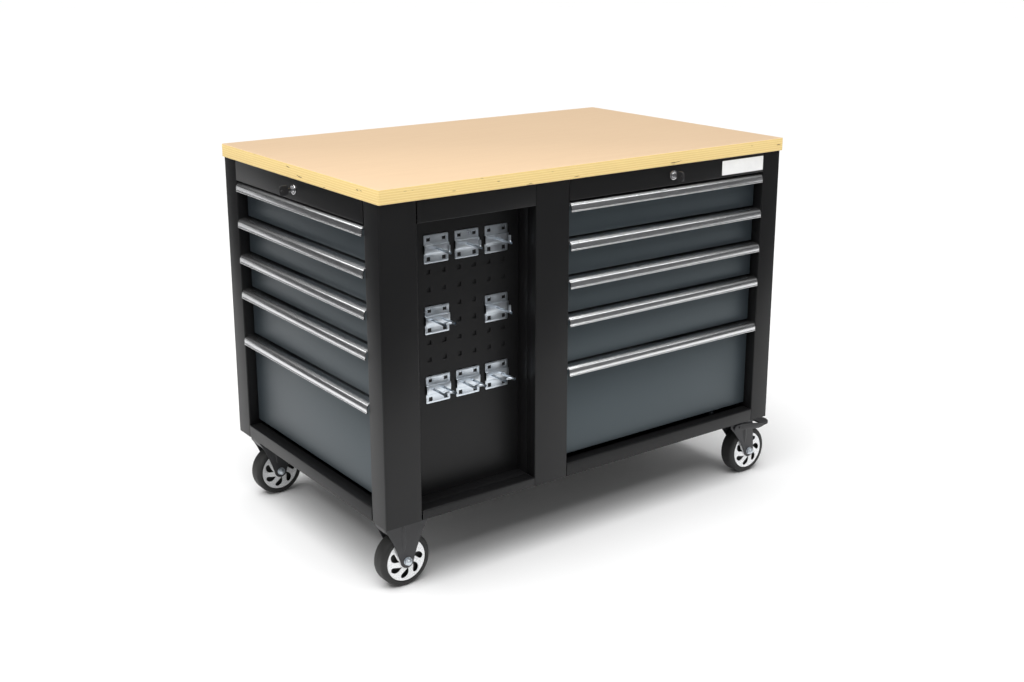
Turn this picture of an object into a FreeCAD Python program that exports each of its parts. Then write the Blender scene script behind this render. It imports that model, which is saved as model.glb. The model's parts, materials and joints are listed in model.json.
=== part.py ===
import FreeCAD, Part
import math
import os

# Mobile workbench: a folded steel cabinet on four casters under a plywood worktop.
# Five drawers slide out of the left end, five wide ones out of the front, and a
# recess with a perforated tool panel lies between them. Millimetres, +Z up, front
# towards -Y. The floor is z = 0.

Vec = FreeCAD.Vector

# ---- driving dimensions ------------------------------------------------------
worktop_length = 1125.0
worktop_depth = 715.0
worktop_thickness = 30.0

body_length = 1120.0
body_depth = 702.0
body_bottom = 159.0
body_top = 841.0
sheet = 1.5
seam_gap = 0.6

corner_width = 88.0            # front face of the front left corner
post_width = 90.0              # centre post
right_post_width = 55.0
end_strip_width = 59.0         # corner strips beside the end drawers
recess_width = 294.0           # tool recess between corner and centre post
opening_top = 793.0
drawer_sill = 190.0
recess_sill = 180.0
recess_depth = 66.5            # frame face to the face of the tool panel
frame_return = 30.0            # depth of the folded returns round the recess

front_setback = 24.0           # frame face to drawer front face
runner_start = 17.0            # drawer front face to the runner panels
runner_inset = 12.0            # opening edge to runner panel
slide_thickness = 12.7
slide_height = 35.0
slide_sheet = 1.2
slide_gap = 3.8                # ball track between the two slide members

drawer_pitches = (85.5, 85.5, 85.5, 115.0, 219.5)
first_pull_top = 790.0
drawer_gap = 3.5               # drawer bottom to the next pull
drawer_sheet = 1.2
front_fold = 13.0
pull_reach = 27.0              # pull nose ahead of the drawer front
pull_height = 22.0
pull_wall = 2.0
pull_nose = 8.0
pull_lip = 2.0                 # radius of the bead along the lower edge

peg_pitch = 38.0
peg_columns = 6
peg_rows = 10
peg_hole = 9.5
peg_first_x = -406.0
peg_first_z = 747.0

hook_plate = 60.0
hook_drop = 8.5                # plate centre below the middle of its four holes
hook_ridge = 19.0
hook_rise = 4.0
hook_wire = 2.8
hook_reach = 58.0
hook_tip = 16.0
loop_reach = 59.5
loop_half_width = 12.5

wheel_radius = 60.0
wheel_width = 40.0
wheel_inset_x = 67.0           # body end to caster axis
wheel_inset_y = 55.0
caster_trail = 44.0
caster_plate_length = 105.0
caster_plate_depth = 85.0
caster_plate_thickness = 3.0
bolt_spacing_x = 80.0
bolt_spacing_y = 64.0
bolt_radius = 4.0
bolt_clearance = 0.3
fork_inner = 22.0              # wheel centre plane to fork leg
fork_wall = 2.5
axle_radius = 5.0
axle_clearance = 0.05
pedal_reach = 122.0

lock_height = 817.0
plug_radius = 6.0
plug_clearance = 0.05
barrel_radius = 9.5
cam_arm = 9.0                  # lock axis to the cam's pin
cam_pin = 2.0
key_reach = 34.0               # frame face to the end of the key's bow

os.makedirs("parts", exist_ok=True)

# ---- places that follow from them --------------------------------------------
left = -body_length / 2
right = body_length / 2
front = -body_depth / 2
back = body_depth / 2
recess_left = left + corner_width
recess_right = recess_left + recess_width
bank_left = recess_right + post_width
bank_right = right - right_post_width
bank_middle = (bank_left + bank_right) / 2
end_opening = body_depth / 2 - end_strip_width
panel_face = front + recess_depth
deck_under = body_top - sheet
floor_over = body_bottom + sheet
return_end = front_setback + runner_start
caster_x = right - wheel_inset_x
caster_y = back - wheel_inset_y
pedal_tip = caster_x + pedal_reach
# The origin lies under the middle of the whole. The keys stand out in front and at the
# left end and the brake pedals at the right, so all is moved by this much when written.
middle_shift = Vec(-(pedal_tip + left - key_reach) / 2, -(worktop_depth / 2 + front - key_reach) / 2, 0)


def box(x0, x1, y0, y1, z0, z1):
    return Part.makeBox(x1 - x0, y1 - y0, z1 - z0, Vec(x0, y0, z0))


def rod(start, end, radius):
    line = end - start
    return Part.makeCylinder(radius, line.Length, start, line)


def join(shapes):
    return shapes[0].fuse(list(shapes[1:])).removeSplitter()


def prism(points, direction):
    """A straight-edged outline pushed along a direction."""
    return Part.Face(Part.makePolygon(points + points[:1])).extrude(direction)


def taper(centre_a, radius_a, centre_b, radius_b, thickness):
    """A flat link in the XZ plane: two discs joined by their outer tangents, along +Y."""
    line = centre_b - centre_a
    turn = math.atan2(line.z, line.x)
    spread = math.acos((radius_a - radius_b) / line.Length)
    corners = []
    for centre, radius, side in ((centre_a, radius_a, 1), (centre_b, radius_b, 1),
                                 (centre_b, radius_b, -1), (centre_a, radius_a, -1)):
        angle = turn + side * spread
        corners.append(centre + Vec(math.cos(angle), 0, math.sin(angle)) * radius)
    push = Vec(0, thickness, 0)
    return join([prism(corners, push), rod(centre_a, centre_a + push, radius_a),
                 rod(centre_b, centre_b + push, radius_b)])


def hex_prism(centre, across_flats, direction):
    """A hexagonal head or nut that stands on centre and reaches along direction."""
    radius = across_flats / math.sqrt(3)
    points = []
    for corner in range(6):
        angle = math.radians(60 * corner)
        points.append(Vec(radius * math.cos(angle), radius * math.sin(angle), 0))
    head = prism(points, Vec(0, 0, direction.Length))
    head.Placement = FreeCAD.Placement(centre, FreeCAD.Rotation(Vec(0, 0, 1), direction))
    return head


def placed(shape, placement):
    moved = shape.copy()
    moved.Placement = placement.multiply(moved.Placement)
    return moved


def save(name, *solids):
    group = [solid.translated(middle_shift) for solid in solids]
    shape = group[0] if len(group) == 1 else Part.makeCompound(group)
    for solid in shape.Solids:
        assert solid.isValid() and solid.isClosed(), name
    shape.exportStep("parts/" + name + ".step")
    print(name, len(shape.Solids), "solids", round(shape.Volume / 1000, 1), "cm3")


# ---- the two drawer banks ------------------------------------------------------
# Both banks are drawn in one frame: x across the drawer, y from the drawer front
# face inwards, z up from the floor. A placement stands each in the cabinet.
class Bank:
    def __init__(self, name, width, depth, slide_length, wall_depth, placement):
        self.name = name
        self.opening = width / 2
        self.front = self.opening - 3.5
        self.wall = self.opening - runner_inset
        self.tray = self.wall - slide_thickness
        self.depth = depth
        self.slide_length = slide_length
        self.wall_depth = wall_depth
        self.placement = placement


front_bank = Bank("front", bank_right - bank_left, 600.0, 550.0,
                  back - sheet - (front + front_setback),
                  FreeCAD.Placement(Vec(bank_middle, front + front_setback, 0), FreeCAD.Rotation()))
divider_x = bank_left + runner_inset - sheet
end_bank = Bank("end", 2 * end_opening, 430.0, 400.0, divider_x - (left + front_setback),
                FreeCAD.Placement(Vec(left + front_setback, 0, 0),
                                  FreeCAD.Rotation(Vec(0, 0, 1), -90)))
banks = (front_bank, end_bank)


class Level:
    """Heights of one drawer: its pull, front, tray and slides."""
    def __init__(self, top, pitch):
        self.pull_top = top
        self.front_top = top - pull_wall
        self.front_bottom = top - pitch + drawer_gap
        self.tray_bottom = self.front_bottom + 6
        self.tray_top = self.tray_bottom + 0.74 * (self.front_top - self.front_bottom)
        self.slide_middle = self.tray_bottom + 9 + slide_height / 2


levels = []
for number, pitch in enumerate(drawer_pitches):
    levels.append(Level(first_pull_top - sum(drawer_pitches[:number]), pitch))


def drawer_tray(bank, level):
    """Folded steel tray with a pan-shaped front and a slide bar spot-welded to each side."""
    t = drawer_sheet
    face = box(-bank.front, bank.front, 0, t, level.front_bottom, level.front_top)
    folds = [box(-bank.front, bank.front, t, front_fold, level.front_top - t, level.front_top)]
    for side in (-1, 1):
        outer, inner = side * bank.front, side * (bank.front - t)
        folds.append(box(min(outer, inner), max(outer, inner), t, front_fold,
                         level.front_bottom, level.front_top - t))
    floor_top = level.tray_bottom + t
    walls = [box(-bank.tray, bank.tray, front_fold - t, bank.depth, level.tray_bottom, floor_top),
             box(-bank.front + t, bank.front - t, front_fold - t, front_fold,
                 level.tray_bottom, level.front_top - t),
             box(-bank.tray, bank.tray, bank.depth - t, bank.depth, level.tray_bottom, level.tray_top)]
    for side in (-1, 1):
        outer, inner = side * bank.tray, side * (bank.tray - t)
        walls.append(box(min(outer, inner), max(outer, inner), front_fold, bank.depth,
                         level.tray_bottom, level.tray_top))
        hem = side * (bank.tray + 3)
        walls.append(box(min(hem, inner), max(hem, inner), front_fold, bank.depth,
                         level.tray_top - t, level.tray_top))
        walls.extend(slide_bar(bank, level, side))
    return join([face] + folds + walls)


def slide_bar(bank, level, side):
    """The drawer's member of a ball slide: a channel open towards the cabinet wall."""
    half = slide_height / 2 - slide_sheet - slide_gap
    plate = bank.tray + slide_sheet
    lip = bank.tray + slide_thickness - slide_sheet - 2
    z0, z1 = level.slide_middle - half, level.slide_middle + half
    pieces = []
    for inner, outer, low, high in ((bank.tray, plate, z0, z1), (plate, lip, z0, z0 + slide_sheet),
                                    (plate, lip, z1 - slide_sheet, z1)):
        pieces.append(box(min(side * inner, side * outer), max(side * inner, side * outer),
                          front_fold + 6, front_fold + 6 + bank.slide_length, low, high))
    return pieces


def slide_rail(bank, level, side):
    """The cabinet's member: a wider channel open towards the drawer."""
    half = slide_height / 2
    plate = bank.wall - slide_sheet
    lip = bank.tray + slide_sheet + 2.5
    z0, z1 = level.slide_middle - half, level.slide_middle + half
    y0 = runner_start + 2
    pieces = []
    for outer, inner, low, high in ((bank.wall, plate, z0, z1), (plate, lip, z0, z0 + slide_sheet),
                                    (plate, lip, z1 - slide_sheet, z1)):
        pieces.append(box(min(side * inner, side * outer), max(side * inner, side * outer),
                          y0, y0 + bank.slide_length, low, high))
    return join(pieces)


def drawer_pull(bank, level):
    """Extruded aluminium pull: flat web, round nose, front leg, and a bead below."""
    top = level.pull_top
    nose_y = -pull_reach + pull_nose
    inner = pull_nose - pull_wall
    low = top - pull_height + pull_lip
    reach = -pull_reach
    bend = math.sqrt(0.5)
    x0 = -bank.front

    def point(y, z):
        return Vec(x0, y, z)

    outer_arc = Part.Arc(point(nose_y, top), point(nose_y - pull_nose * bend, top - pull_nose * (1 - bend)),
                         point(reach, top - pull_nose))
    inner_arc = Part.Arc(point(reach + pull_wall, top - pull_nose),
                         point(nose_y - inner * bend, top - pull_nose + inner * bend),
                         point(nose_y, top - pull_wall))
    edges = [Part.LineSegment(point(front_fold - 1, top), point(nose_y, top)), outer_arc,
             Part.LineSegment(point(reach, top - pull_nose), point(reach, low)),
             Part.LineSegment(point(reach, low), point(reach + pull_wall, low)),
             Part.LineSegment(point(reach + pull_wall, low), point(reach + pull_wall, top - pull_nose)),
             inner_arc,
             Part.LineSegment(point(nose_y, top - pull_wall), point(front_fold - 1, top - pull_wall)),
             Part.LineSegment(point(front_fold - 1, top - pull_wall), point(front_fold - 1, top))]
    section = Part.Face(Part.Wire([edge.toShape() for edge in edges]))
    length = Vec(2 * bank.front, 0, 0)
    bead = rod(point(reach + pull_wall - 1, low), point(reach + pull_wall - 1, low) + length, pull_lip)
    tab = box(-bank.front, bank.front, -pull_wall, 0, top - 14, top - pull_wall)
    return join([section.extrude(length), bead, tab])


def runner_panels(bank):
    """The two inner walls that carry the bank's slides, folded outwards at the front."""
    panels = []
    for side in (-1, 1):
        inner, outer = side * bank.wall, side * (bank.wall + sheet)
        edge = side * (bank.opening + sheet)
        wall = box(min(inner, outer), max(inner, outer), runner_start, bank.wall_depth,
                   floor_over, deck_under)
        fold = box(min(outer, edge), max(outer, edge), runner_start, runner_start + sheet,
                   floor_over, deck_under)
        panels.append(join([wall, fold]))
    return panels


for bank in banks:
    rails = []
    for number, level in enumerate(levels, start=1):
        tray = drawer_tray(bank, level)
        save("drawer_%s_%d" % (bank.name, number), placed(tray, bank.placement))
        save("pull_%s_%d" % (bank.name, number), placed(drawer_pull(bank, level), bank.placement))
        for side in (-1, 1):
            rails.append(placed(slide_rail(bank, level, side), bank.placement))
    save("slide_rails_" + bank.name, *rails)

panels = []
for bank in banks:
    panels.extend(placed(panel, bank.placement) for panel in runner_panels(bank))
save("runner_panels", *panels)


# ---- folded steel cabinet --------------------------------------------------------
def front_strip(x0, x1, z0=body_bottom, z1=body_top):
    return box(x0, x1, front, front + sheet, z0, z1)


def left_strip(y0, y1, z0=body_bottom, z1=body_top):
    return box(left, left + sheet, y0, y1, z0, z1)


def front_return(x, side, depth):
    """The fold that runs inwards from the edge x of a front strip, its sheet towards side."""
    return box(min(x, x + side * sheet), max(x, x + side * sheet), front + sheet, front + depth,
               floor_over, deck_under)


def corner_front_left():
    blank = join([front_strip(left, recess_left), left_strip(front, -end_opening)])
    outer = [edge for edge in blank.Edges if edge.Length > 600
             and abs(edge.CenterOfMass.x - left) < 0.01 and abs(edge.CenterOfMass.y - front) < 0.01]
    rounded = blank.makeFillet(sheet * 0.9, outer)
    fold = box(left + sheet, left + return_end, -end_opening - sheet, -end_opening, floor_over, deck_under)
    return join([rounded, front_return(recess_left, -1, frame_return), fold])


def post_centre():
    return join([front_strip(recess_right, bank_left), front_return(recess_right, 1, frame_return),
                 front_return(bank_left, -1, return_end)])


def side_right():
    wall = box(right - sheet, right, front, back, body_bottom, body_top)
    back_fold = box(right - 30, right - sheet, back - sheet, back, body_bottom, body_top)
    return join([wall, front_strip(bank_right, right - sheet), front_return(bank_right, 1, return_end),
                 back_fold])


def back_panel():
    """The back, folded round the rear left corner as far as the end drawers."""
    sheet_back = box(left, right - 30 - seam_gap, back - sheet, back, body_bottom, body_top)
    fold = box(left + sheet, left + return_end, end_opening, end_opening + sheet, floor_over, deck_under)
    return join([sheet_back, left_strip(end_opening, back - sheet), fold])


def ledge(x0, x1, y0, y1, z):
    return box(x0, x1, y0, y1, z, z + sheet)


def base_pan():
    """Cabinet floor, with its front and left edges folded up into sills and in again."""
    pan = box(left + sheet, right - sheet, front + sheet, back - sheet, body_bottom, floor_over)
    sill_back = front + frame_return
    pieces = [pan]
    for x0, x1, top in ((recess_left, recess_right, recess_sill), (bank_left, bank_right, drawer_sill)):
        x0, x1 = x0 + seam_gap, x1 - seam_gap
        pieces.append(front_strip(x0, x1, z1=top))
        pieces.append(ledge(x0, x1, front + sheet, sill_back, top - sheet))
    y0, y1 = -end_opening + seam_gap, end_opening - seam_gap
    pieces.append(left_strip(y0, y1, z1=drawer_sill))
    pieces.append(ledge(left + sheet, left + frame_return, y0, y1, drawer_sill - sheet))
    pan = join(pieces)
    bore = bolt_radius + bolt_clearance
    for x, y in bolt_places():
        pan = pan.cut(rod(Vec(x, y, body_bottom - 1), Vec(x, y, floor_over + 1), bore))
    return pan


def lock_axis(bank):
    """The lock's place in its bank's frame, on the frame face."""
    return Vec(lock_offset[bank.name], -front_setback, lock_height)


lock_offset = {"front": 3.0, "end": -2.0}
bar_low, bar_high = 1.0, 15.0        # lock bar, above the lock axis
bar_face = 1.0                       # drawer front plane to the bar's near face
bar_thickness = 2.0
bar_length = 150.0
guide_places = (60.0, 125.0)
guide_clearance = 0.5


def lock_bar_guides(bank):
    """Hangers under the deck that the lock bar slides in."""
    hangers = []
    axis = lock_axis(bank)
    y0 = bar_face - guide_clearance - sheet
    y1 = bar_face + bar_thickness + guide_clearance + sheet
    for along in guide_places:
        x = axis.x + along
        hanger = box(x, x + 8, y0, y1, lock_height + bar_low - guide_clearance - sheet, deck_under)
        window = box(x - 1, x + 9, y0 + sheet, y1 - sheet, lock_height + bar_low - guide_clearance,
                     lock_height + bar_high + guide_clearance)
        hangers.append(placed(hanger.cut(window), bank.placement))
    return hangers


def top_frame():
    """Deck under the worktop, with its front and left edges folded down into rails."""
    pieces = [box(left + sheet, right - sheet, front + sheet, back - sheet, deck_under, body_top)]
    rail_back = front + frame_return
    for x0, x1 in ((recess_left, recess_right), (bank_left, bank_right)):
        x0, x1 = x0 + seam_gap, x1 - seam_gap
        pieces.append(front_strip(x0, x1, z0=opening_top))
        pieces.append(ledge(x0, x1, front + sheet, rail_back, opening_top))
    y0, y1 = -end_opening + seam_gap, end_opening - seam_gap
    pieces.append(left_strip(y0, y1, z0=opening_top))
    pieces.append(ledge(left + sheet, left + frame_return, y0, y1, opening_top))
    for bank in banks:
        pieces.extend(lock_bar_guides(bank))
    frame = join(pieces)
    for bank in banks:
        axis = lock_axis(bank)
        hole = rod(axis - Vec(0, 5, 0), axis + Vec(0, 5, 0), barrel_radius + 0.1)
        frame = frame.cut(placed(hole, bank.placement))
    bore = screw_radius + bolt_clearance
    for x, y in screw_places():
        frame = frame.cut(rod(Vec(x, y, deck_under - 1), Vec(x, y, body_top + 1), bore))
    return frame


def recess_liner():
    """Four-sided lining of the tool recess, open to the front and to the panel."""
    y0, y1 = front + frame_return, panel_face
    outer = box(recess_left - 2 * sheet, recess_right + 2 * sheet, y0, y1,
                recess_sill - 2 * sheet, opening_top + 2 * sheet)
    inner = box(recess_left - sheet, recess_right + sheet, y0 - 1, y1 + 1,
                recess_sill - sheet, opening_top + sheet)
    return outer.cut(inner)


def peg_panel():
    """Perforated panel: square holes on a regular grid, plain below."""
    panel = box(recess_left - 2 * sheet, recess_right + 2 * sheet, panel_face, panel_face + sheet,
                recess_sill - 2 * sheet, opening_top + 2 * sheet)
    holes = []
    half = peg_hole / 2
    for column in range(peg_columns):
        for row in range(peg_rows):
            x = peg_first_x + column * peg_pitch
            z = peg_first_z - row * peg_pitch
            holes.append(box(x - half, x + half, panel_face - 1, panel_face + sheet + 1, z - half, z + half))
    return panel.cut(Part.makeCompound(holes))


# ---- worktop and fasteners ---------------------------------------------------------
screw_radius = 3.0
screw_length = 18.0
screw_columns = (-500.0, -200.0, 200.0, 515.0)
screw_rows = (-251.0, 291.0)


def screw_places():
    return [(x, y) for x in screw_columns for y in screw_rows]


def bolt_places():
    places = []
    for cx in (-caster_x, caster_x):
        for cy in (-caster_y, caster_y):
            for sx in (-1, 1):
                for sy in (-1, 1):
                    places.append((cx + sx * bolt_spacing_x / 2, cy + sy * bolt_spacing_y / 2))
    return places


def worktop():
    top = box(-worktop_length / 2, worktop_length / 2, -worktop_depth / 2, worktop_depth / 2,
              body_top, body_top + worktop_thickness)
    uprights = [edge for edge in top.Edges if abs(edge.Vertexes[0].Z - edge.Vertexes[-1].Z) > 1]
    top = top.makeFillet(3, uprights)
    rim = [edge for edge in top.Edges if abs(edge.BoundBox.ZMin - body_top - worktop_thickness) < 0.01
           and abs(edge.BoundBox.ZMax - body_top - worktop_thickness) < 0.01]
    top = top.makeFillet(1.5, rim)
    for x, y in screw_places():
        top = top.cut(rod(Vec(x, y, body_top - 1), Vec(x, y, body_top + screw_length), screw_radius))
    return top


def fasteners():
    """Worktop screws from below, and a bolt and nut at each corner of each caster plate."""
    pieces = []
    for x, y in screw_places():
        shank = rod(Vec(x, y, deck_under), Vec(x, y, body_top + screw_length), screw_radius)
        head = rod(Vec(x, y, deck_under - 4), Vec(x, y, deck_under), 6)
        pieces.append(join([shank, head]))
    under = body_bottom - caster_plate_thickness
    for x, y in bolt_places():
        head = hex_prism(Vec(x, y, under - 5.3), 13, Vec(0, 0, 5.3))
        shank = rod(Vec(x, y, under), Vec(x, y, floor_over + 10), bolt_radius)
        nut = hex_prism(Vec(x, y, floor_over), 13, Vec(0, 0, 6.5))
        pieces.append(join([head, shank, nut]))
    return pieces


save("worktop", worktop())
save("top_frame", top_frame())
save("corner_front_left", corner_front_left())
save("post_centre", post_centre())
save("side_right", side_right())
save("back_panel", back_panel())
save("base_pan", base_pan())
save("recess_liner", recess_liner())
save("peg_panel", peg_panel())
save("fasteners", *fasteners())

badge_left, badge_right = 366.0, 502.0
badge_low, badge_high = 799.0, 833.0
save("badge_plate", box(badge_left, badge_right, front - 1.2, front, badge_low, badge_high))


# ---- tool hooks ----------------------------------------------------------------------
def hook_base(x, z):
    """Square plate with four square holes and a raised band across its middle."""
    half, band = hook_plate / 2, hook_ridge / 2
    face = panel_face - sheet
    rise = panel_face - sheet - hook_rise
    plate = [box(x - half, x + half, face, panel_face, z + band, z + half),
             box(x - half, x + half, face, panel_face, z - half, z - band),
             box(x - half, x + half, rise, rise + sheet, z - band, z + band),
             box(x - half, x + half, rise, panel_face, z + band - sheet, z + band),
             box(x - half, x + half, rise, panel_face, z - band, z - band + sheet)]
    base = join(plate)
    hole = 9.0 / 2
    for dx in (-peg_pitch / 2, peg_pitch / 2):
        for dz in (-peg_pitch / 2 - 2, peg_pitch / 2 + 2):
            base = base.cut(box(x + dx - hole, x + dx + hole, rise - 1, panel_face + 1,
                                z + dz - hole, z + dz + hole))
    # The tongue from each upper hole is folded back through the panel and down behind it.
    top = z + peg_pitch / 2 + 2 + hole
    hooked = panel_face + sheet
    tongues = []
    for dx in (-peg_pitch / 2, peg_pitch / 2):
        x0, x1 = x + dx - 3.5, x + dx + 3.5
        tongues.append(box(x0, x1, face, hooked + sheet, top - sheet, top))
        tongues.append(box(x0, x1, hooked, hooked + sheet, top - 8, top - sheet))
    return join([base] + tongues), rise


def single_hook(x, z):
    """One wire straight out, its end turned up."""
    base, rise = hook_base(x, z)
    tip = Vec(x, rise + sheet - hook_reach, z)
    bend = 6.0
    elbow_start = tip + Vec(0, bend, 0)
    elbow_end = tip + Vec(0, 0, bend)
    middle = tip + Vec(0, bend * (1 - math.sqrt(0.5)), bend * (1 - math.sqrt(0.5)))
    path = Part.Wire([Part.LineSegment(Vec(x, rise + 0.5, z), elbow_start).toShape(),
                      Part.Arc(elbow_start, middle, elbow_end).toShape(),
                      Part.LineSegment(elbow_end, tip + Vec(0, 0, hook_tip)).toShape()])
    ring = Part.Wire([Part.Circle(Vec(x, rise + 0.5, z), Vec(0, 1, 0), hook_wire).toShape()])
    return join([base, path.makePipeShell([ring], True, True)])


def loop_hook(x, z):
    """One wire bent into a flat U that a handle drops through."""
    base, rise = hook_base(x, z)
    radius = loop_half_width
    mouth = rise + 0.5
    far = rise + sheet - loop_reach + radius
    path = Part.Wire([Part.LineSegment(Vec(x - radius, mouth, z), Vec(x - radius, far, z)).toShape(),
                      Part.Arc(Vec(x - radius, far, z), Vec(x, far - radius, z),
                               Vec(x + radius, far, z)).toShape(),
                      Part.LineSegment(Vec(x + radius, far, z), Vec(x + radius, mouth, z)).toShape()])
    ring = Part.Wire([Part.Circle(Vec(x - radius, mouth, z), Vec(0, 1, 0), hook_wire).toShape()])
    return join([base, path.makePipeShell([ring], True, True)])


def hook_centre(column_pair, row_pair):
    """Middle of a hook plate, from the first column and row of the four holes it covers."""
    x = peg_first_x + (column_pair + 0.5) * peg_pitch
    z = peg_first_z - (row_pair + 0.5) * peg_pitch - hook_drop
    return x, z


single_places = ((0, 0), (2, 0), (4, 0), (4, 4))
loop_places = ((0, 4), (0, 8), (2, 8), (4, 8))
save("hooks_single", *[single_hook(*hook_centre(column, row)) for column, row in single_places])
save("hooks_loop", *[loop_hook(*hook_centre(column, row)) for column, row in loop_places])


# ---- locks -----------------------------------------------------------------------------
def lock_barrel(bank):
    axis = lock_axis(bank)
    body = rod(axis, axis + Vec(0, 20, 0), barrel_radius)
    flange = rod(axis - Vec(0, 2.5, 0), axis, 11)
    bore = rod(axis - Vec(0, 3, 0), axis + Vec(0, 21, 0), plug_radius + plug_clearance)
    return placed(join([body, flange]).cut(bore), bank.placement)


def key_and_plug(bank):
    """Turning plug with its key at the front, and the cam with its pin at the back."""
    axis = lock_axis(bank)
    plug = rod(axis - Vec(0, 3, 0), axis + Vec(0, 22.5, 0), plug_radius)
    blade = box(axis.x - 1.1, axis.x + 1.1, axis.y - 14, axis.y - 2.5, axis.z - 3.8, axis.z + 3.8)
    bow = box(axis.x - 2.4, axis.x + 2.4, axis.y - key_reach, axis.y - 13, axis.z - 11, axis.z + 11)
    corners = [edge for edge in bow.Edges if abs(edge.Vertexes[0].X - edge.Vertexes[-1].X) > 1]
    bow = bow.makeFillet(7, corners)
    eye = rod(axis + Vec(-4, -29, 0), axis + Vec(4, -29, 0), 2.5)
    start = math.radians(135)
    pin_from = axis + Vec(cam_arm * math.cos(start), 22, cam_arm * math.sin(start))
    arm = taper(axis + Vec(0, 22, 0), plug_radius, pin_from, 3.5, 2.0)
    pin = rod(pin_from, pin_from + Vec(0, 7, 0), cam_pin)
    return placed(join([plug, blade, bow.cut(eye), arm, pin]), bank.placement)


def lock_bar(bank):
    """Flat bar behind the top rail, moved along it by the cam's pin in an upright slot."""
    axis = lock_axis(bank)
    pin_x = axis.x - cam_arm * math.sqrt(0.5)
    bar = box(pin_x - 10, axis.x + bar_length, bar_face, bar_face + bar_thickness,
              axis.z + bar_low, axis.z + bar_high)
    slot_low = axis.z + cam_arm * math.sqrt(0.5) - cam_pin - 0.6
    slot_high = axis.z + cam_arm + cam_pin + 0.6
    slot = box(pin_x - cam_pin - 0.7, pin_x + cam_pin + 0.7, bar_face - 1, bar_face + bar_thickness + 1,
               slot_low, slot_high)
    catch = box(axis.x + bar_length - 4, axis.x + bar_length, bar_face + bar_thickness,
                bar_face + bar_thickness + 16, axis.z + bar_low, axis.z + bar_high)
    return placed(join([bar.cut(slot), catch]), bank.placement)


save("lock_barrels", *[lock_barrel(bank) for bank in banks])
for bank in banks:
    save("key_" + bank.name, key_and_plug(bank))
    save("lock_bar_" + bank.name, lock_bar(bank))


# ---- casters --------------------------------------------------------------------------------
# Each is drawn about its own upright axis, with the wheel axle along Y.
def wheel_body(axle_x):
    """Tread and core in one: rounded shoulders, a shallow well for the cover, a hub."""
    half, r = wheel_width / 2, wheel_radius
    shoulder, well, hub = 9.0, 3.0, 12.5
    turn = shoulder * (1 - math.sqrt(0.5))

    def point(y, radius):
        return Vec(axle_x + radius, y, wheel_radius)

    bore = axle_radius + axle_clearance
    cover_r = 47.5
    edges = [Part.LineSegment(point(-fork_inner + 1, bore), point(-fork_inner + 1, hub)),
             Part.LineSegment(point(-fork_inner + 1, hub), point(-half + well, hub)),
             Part.LineSegment(point(-half + well, hub), point(-half + well, cover_r)),
             Part.LineSegment(point(-half + well, cover_r), point(-half, cover_r + 1)),
             Part.LineSegment(point(-half, cover_r + 1), point(-half, r - shoulder)),
             Part.Arc(point(-half, r - shoulder), point(-half + turn, r - turn),
                      point(-half + shoulder, r)),
             Part.LineSegment(point(-half + shoulder, r), point(half - shoulder, r)),
             Part.Arc(point(half - shoulder, r), point(half - turn, r - turn),
                      point(half, r - shoulder)),
             Part.LineSegment(point(half, r - shoulder), point(half, cover_r + 1)),
             Part.LineSegment(point(half, cover_r + 1), point(half - well, cover_r)),
             Part.LineSegment(point(half - well, cover_r), point(half - well, hub)),
             Part.LineSegment(point(half - well, hub), point(fork_inner - 1, hub)),
             Part.LineSegment(point(fork_inner - 1, hub), point(fork_inner - 1, bore)),
             Part.LineSegment(point(fork_inner - 1, bore), point(-fork_inner + 1, bore))]
    section = Part.Face(Part.Wire([edge.toShape() for edge in edges]))
    return section.revolve(Vec(axle_x, 0, wheel_radius), Vec(0, 1, 0), 360)


def wheel_cover(axle_x, side):
    """Bright trim disc with seven swept teardrop windows."""
    y0 = side * (wheel_width / 2 - 3)
    y1 = y0 + side * 2
    centre = Vec(axle_x, 0, wheel_radius)
    disc = rod(centre + Vec(0, y0, 0), centre + Vec(0, y1, 0), 46.5)
    disc = disc.cut(rod(centre + Vec(0, y0 - side, 0), centre + Vec(0, y1 + side, 0), 13.0))
    low = min(y0, y1) - 1
    windows = []
    for spoke in range(7):
        window = taper(Vec(33, low, 4), 6.0, Vec(18.5, low, -3), 1.6, 4)
        window.Placement = FreeCAD.Placement(centre, FreeCAD.Rotation(Vec(0, 1, 0), spoke * 360 / 7))
        windows.append(window)
    return disc.cut(Part.makeCompound(windows))


def axle(axle_x):
    """Axle bolt with a hexagon head outside one fork leg and a domed nut outside the other."""
    outer = fork_inner + fork_wall
    centre = Vec(axle_x, 0, wheel_radius)
    shank = rod(centre - Vec(0, outer, 0), centre + Vec(0, outer, 0), axle_radius)
    nut = hex_prism(centre - Vec(0, outer, 0), 16, Vec(0, -6, 0))
    dome = Part.makeSphere(7.2, centre - Vec(0, outer + 5, 0)).cut(
        box(axle_x - 10, axle_x + 10, -outer - 5, 0, wheel_radius - 10, wheel_radius + 10))
    head = hex_prism(centre + Vec(0, outer, 0), 16, Vec(0, 6, 0))
    return join([shank, nut, dome, head])


def mounting_plate():
    half_x, half_y = caster_plate_length / 2, caster_plate_depth / 2
    plate = box(-half_x, half_x, -half_y, half_y, body_bottom - caster_plate_thickness, body_bottom)
    uprights = [edge for edge in plate.Edges if abs(edge.Vertexes[0].Z - edge.Vertexes[-1].Z) > 1]
    plate = plate.makeFillet(8, uprights)
    for sx in (-1, 1):
        for sy in (-1, 1):
            x, y = sx * bolt_spacing_x / 2, sy * bolt_spacing_y / 2
            plate = plate.cut(rod(Vec(x, y, body_bottom - 10), Vec(x, y, body_bottom + 1),
                                  bolt_radius + bolt_clearance))
    return plate


def bead(x, y, z0, z1, radius):
    """Pressed rib with round ends, half sunk in a fork leg."""
    return join([rod(Vec(x, y, z0), Vec(x, y, z1), radius), Part.makeSphere(radius, Vec(x, y, z0)),
                 Part.makeSphere(radius, Vec(x, y, z1))])


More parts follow.
